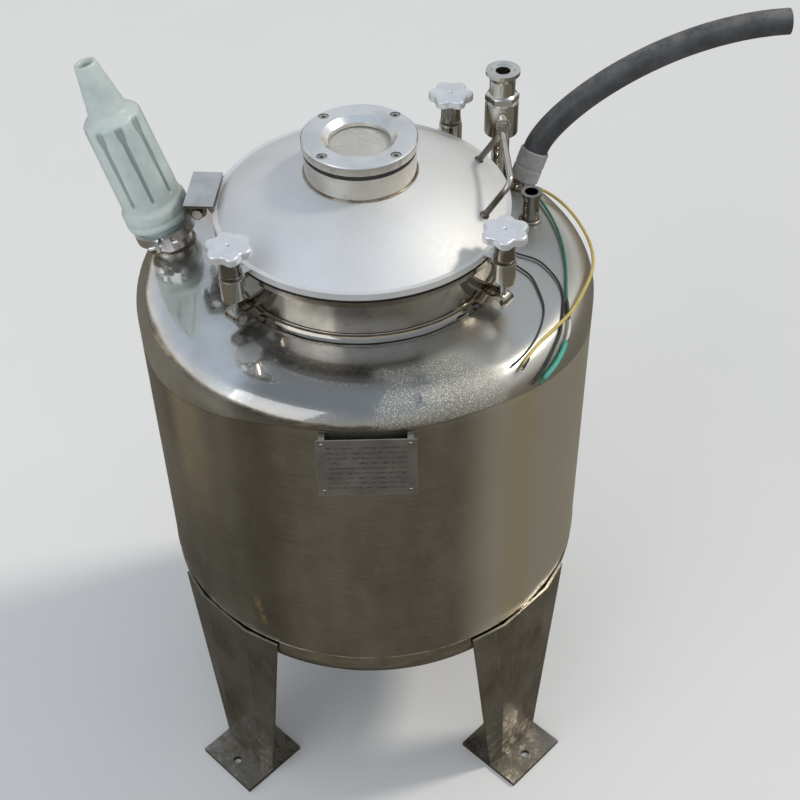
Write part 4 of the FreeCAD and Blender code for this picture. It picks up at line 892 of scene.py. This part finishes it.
def surroundings():
    """Studio world: pale to the camera; the steel sees a soft sky over dim, warm surroundings."""
    world = bpy.data.worlds.new("studio")
    bpy.context.scene.world = world
    world.use_nodes = True
    tree = world.node_tree
    tree.nodes.clear()

    def add(kind, **settings):
        item = tree.nodes.new(kind)
        for key, value in settings.items():
            setattr(item, key, value)
        return item

    place = add("ShaderNodeTexCoord")
    split = add("ShaderNodeSeparateXYZ")
    tree.links.new(place.outputs["Generated"], split.inputs[0])
    stretch = add("ShaderNodeMapping")
    stretch.inputs["Scale"].default_value = (2.6, 2.6, 0.9)
    tree.links.new(place.outputs["Generated"], stretch.inputs[0])
    patches = add("ShaderNodeTexNoise")
    patches.inputs["Scale"].default_value = 2.2
    patches.inputs["Detail"].default_value = 3.0
    tree.links.new(stretch.outputs[0], patches.inputs["Vector"])
    skyline = add("ShaderNodeMath", operation="MULTIPLY_ADD")
    tree.links.new(patches.outputs["Fac"], skyline.inputs[0])
    skyline.inputs[1].default_value = 0.30
    tree.links.new(split.outputs[2], skyline.inputs[2])
    rise = add("ShaderNodeMapRange")
    rise.inputs[1].default_value = -1.0
    tree.links.new(skyline.outputs[0], rise.inputs[0])
    ramp = add("ShaderNodeValToRGB")
    tree.links.new(rise.outputs[0], ramp.inputs[0])
    stops = [(0.0, (0.10, 0.09, 0.07)), (0.45, (0.16, 0.14, 0.10)), (0.55, (0.085, 0.08, 0.06)),
             (0.63, (0.10, 0.09, 0.07)), (0.665, (0.42, 0.36, 0.28)), (0.70, (0.80, 0.80, 0.78)),
             (0.80, (0.62, 0.66, 0.71)), (0.90, (0.50, 0.56, 0.65)), (1.0, (0.46, 0.53, 0.63))]
    while len(ramp.color_ramp.elements) < len(stops):
        ramp.color_ramp.elements.new(0.5)
    for element, (spot, tone) in zip(ramp.color_ramp.elements, stops):
        element.position = spot
        element.color = tone + (1,)
    lit = add("ShaderNodeTexNoise")
    lit.inputs["Scale"].default_value = 5.0
    tree.links.new(stretch.outputs[0], lit.inputs["Vector"])
    chosen = add("ShaderNodeMapRange", interpolation_type="SMOOTHSTEP")
    for index, number in ((1, 0.56), (2, 0.64), (3, 0.0), (4, 0.75)):
        chosen.inputs[index].default_value = number
    tree.links.new(lit.outputs["Fac"], chosen.inputs[0])
    low = add("ShaderNodeMapRange", interpolation_type="SMOOTHSTEP")
    for index, number in ((1, 0.30), (2, 0.10)):
        low.inputs[index].default_value = number
    tree.links.new(split.outputs[2], low.inputs[0])
    share = add("ShaderNodeMath", operation="MULTIPLY")
    tree.links.new(chosen.outputs[0], share.inputs[0])
    tree.links.new(low.outputs[0], share.inputs[1])
    warm = add("ShaderNodeMix", data_type="RGBA")
    tree.links.new(share.outputs[0], warm.inputs[0])
    tree.links.new(ramp.outputs[0], warm.inputs[6])
    warm.inputs[7].default_value = (0.62, 0.47, 0.29, 1)
    sky = add("ShaderNodeBackground")
    tree.links.new(warm.outputs[2], sky.inputs[0])
    soft = add("ShaderNodeBackground")
    soft.inputs[0].default_value = (0.80, 0.84, 0.90, 1)
    soft.inputs[1].default_value = 0.62
    pale = add("ShaderNodeBackground")
    pale.inputs[0].default_value = (0.93, 0.93, 0.93, 1)
    path = add("ShaderNodeLightPath")
    by_gloss = add("ShaderNodeMixShader")
    by_camera = add("ShaderNodeMixShader")
    out = add("ShaderNodeOutputWorld")
    tree.links.new(path.outputs["Is Glossy Ray"], by_gloss.inputs[0])
    tree.links.new(soft.outputs[0], by_gloss.inputs[1])
    tree.links.new(sky.outputs[0], by_gloss.inputs[2])
    tree.links.new(path.outputs["Is Camera Ray"], by_camera.inputs[0])
    tree.links.new(by_gloss.outputs[0], by_camera.inputs[1])
    tree.links.new(pale.outputs[0], by_camera.inputs[2])
    tree.links.new(by_camera.outputs[0], out.inputs[0])


def aim(item, spot):
    item.rotation_euler = (Vector(spot) - item.location).to_track_quat("-Z", "Y").to_euler()


def lights():
    """A soft key from behind on the right, and a wide weak fill from the front left."""
    sun = bpy.data.objects.new("key", bpy.data.lights.new("key", "SUN"))
    sun.data.energy = 1.1
    sun.data.angle = math.radians(9)
    sun.data.color = (1.0, 0.94, 0.84)
    turn, height = math.radians(14), math.radians(50)
    sun.location = (3 * math.cos(turn) * math.cos(height), 3 * math.sin(turn) * math.cos(height),
                    1 + 3 * math.sin(height))
    fill = bpy.data.objects.new("fill", bpy.data.lights.new("fill", "AREA"))
    fill.data.energy = 30
    fill.data.size = 2.5
    fill.data.color = (0.93, 0.96, 1.0)
    fill.location = (-2.4, -2.4, 2.9)
    for lamp, spot in ((sun, (0, 0, 1)), (fill, (0, 0, 0.7))):
        bpy.context.scene.collection.objects.link(lamp)
        aim(lamp, spot)


def camera():
    """Looks down at the front from just above head height."""
    pitch, roll = math.radians(43.4), math.radians(-1.3)
    data = bpy.data.cameras.new("view")
    data.lens = 63.16
    data.sensor_width = 36
    item = bpy.data.objects.new("view", data)
    bpy.context.scene.collection.objects.link(item)
    ahead = Vector((0, math.cos(pitch), -math.sin(pitch)))
    right = Vector((1, 0, 0))
    up = right.cross(ahead)
    x = right * math.cos(roll) + up * math.sin(roll)
    y = up * math.cos(roll) - right * math.sin(roll)
    turn = Matrix((x, y, -ahead)).transposed().to_4x4()
    item.matrix_world = Matrix.Translation((0.0472, -1.6261, 2.1721)) @ turn
    bpy.context.scene.camera = item


floor()
surroundings()
lights()
camera()
bpy.context.scene.view_settings.view_transform = "Standard"
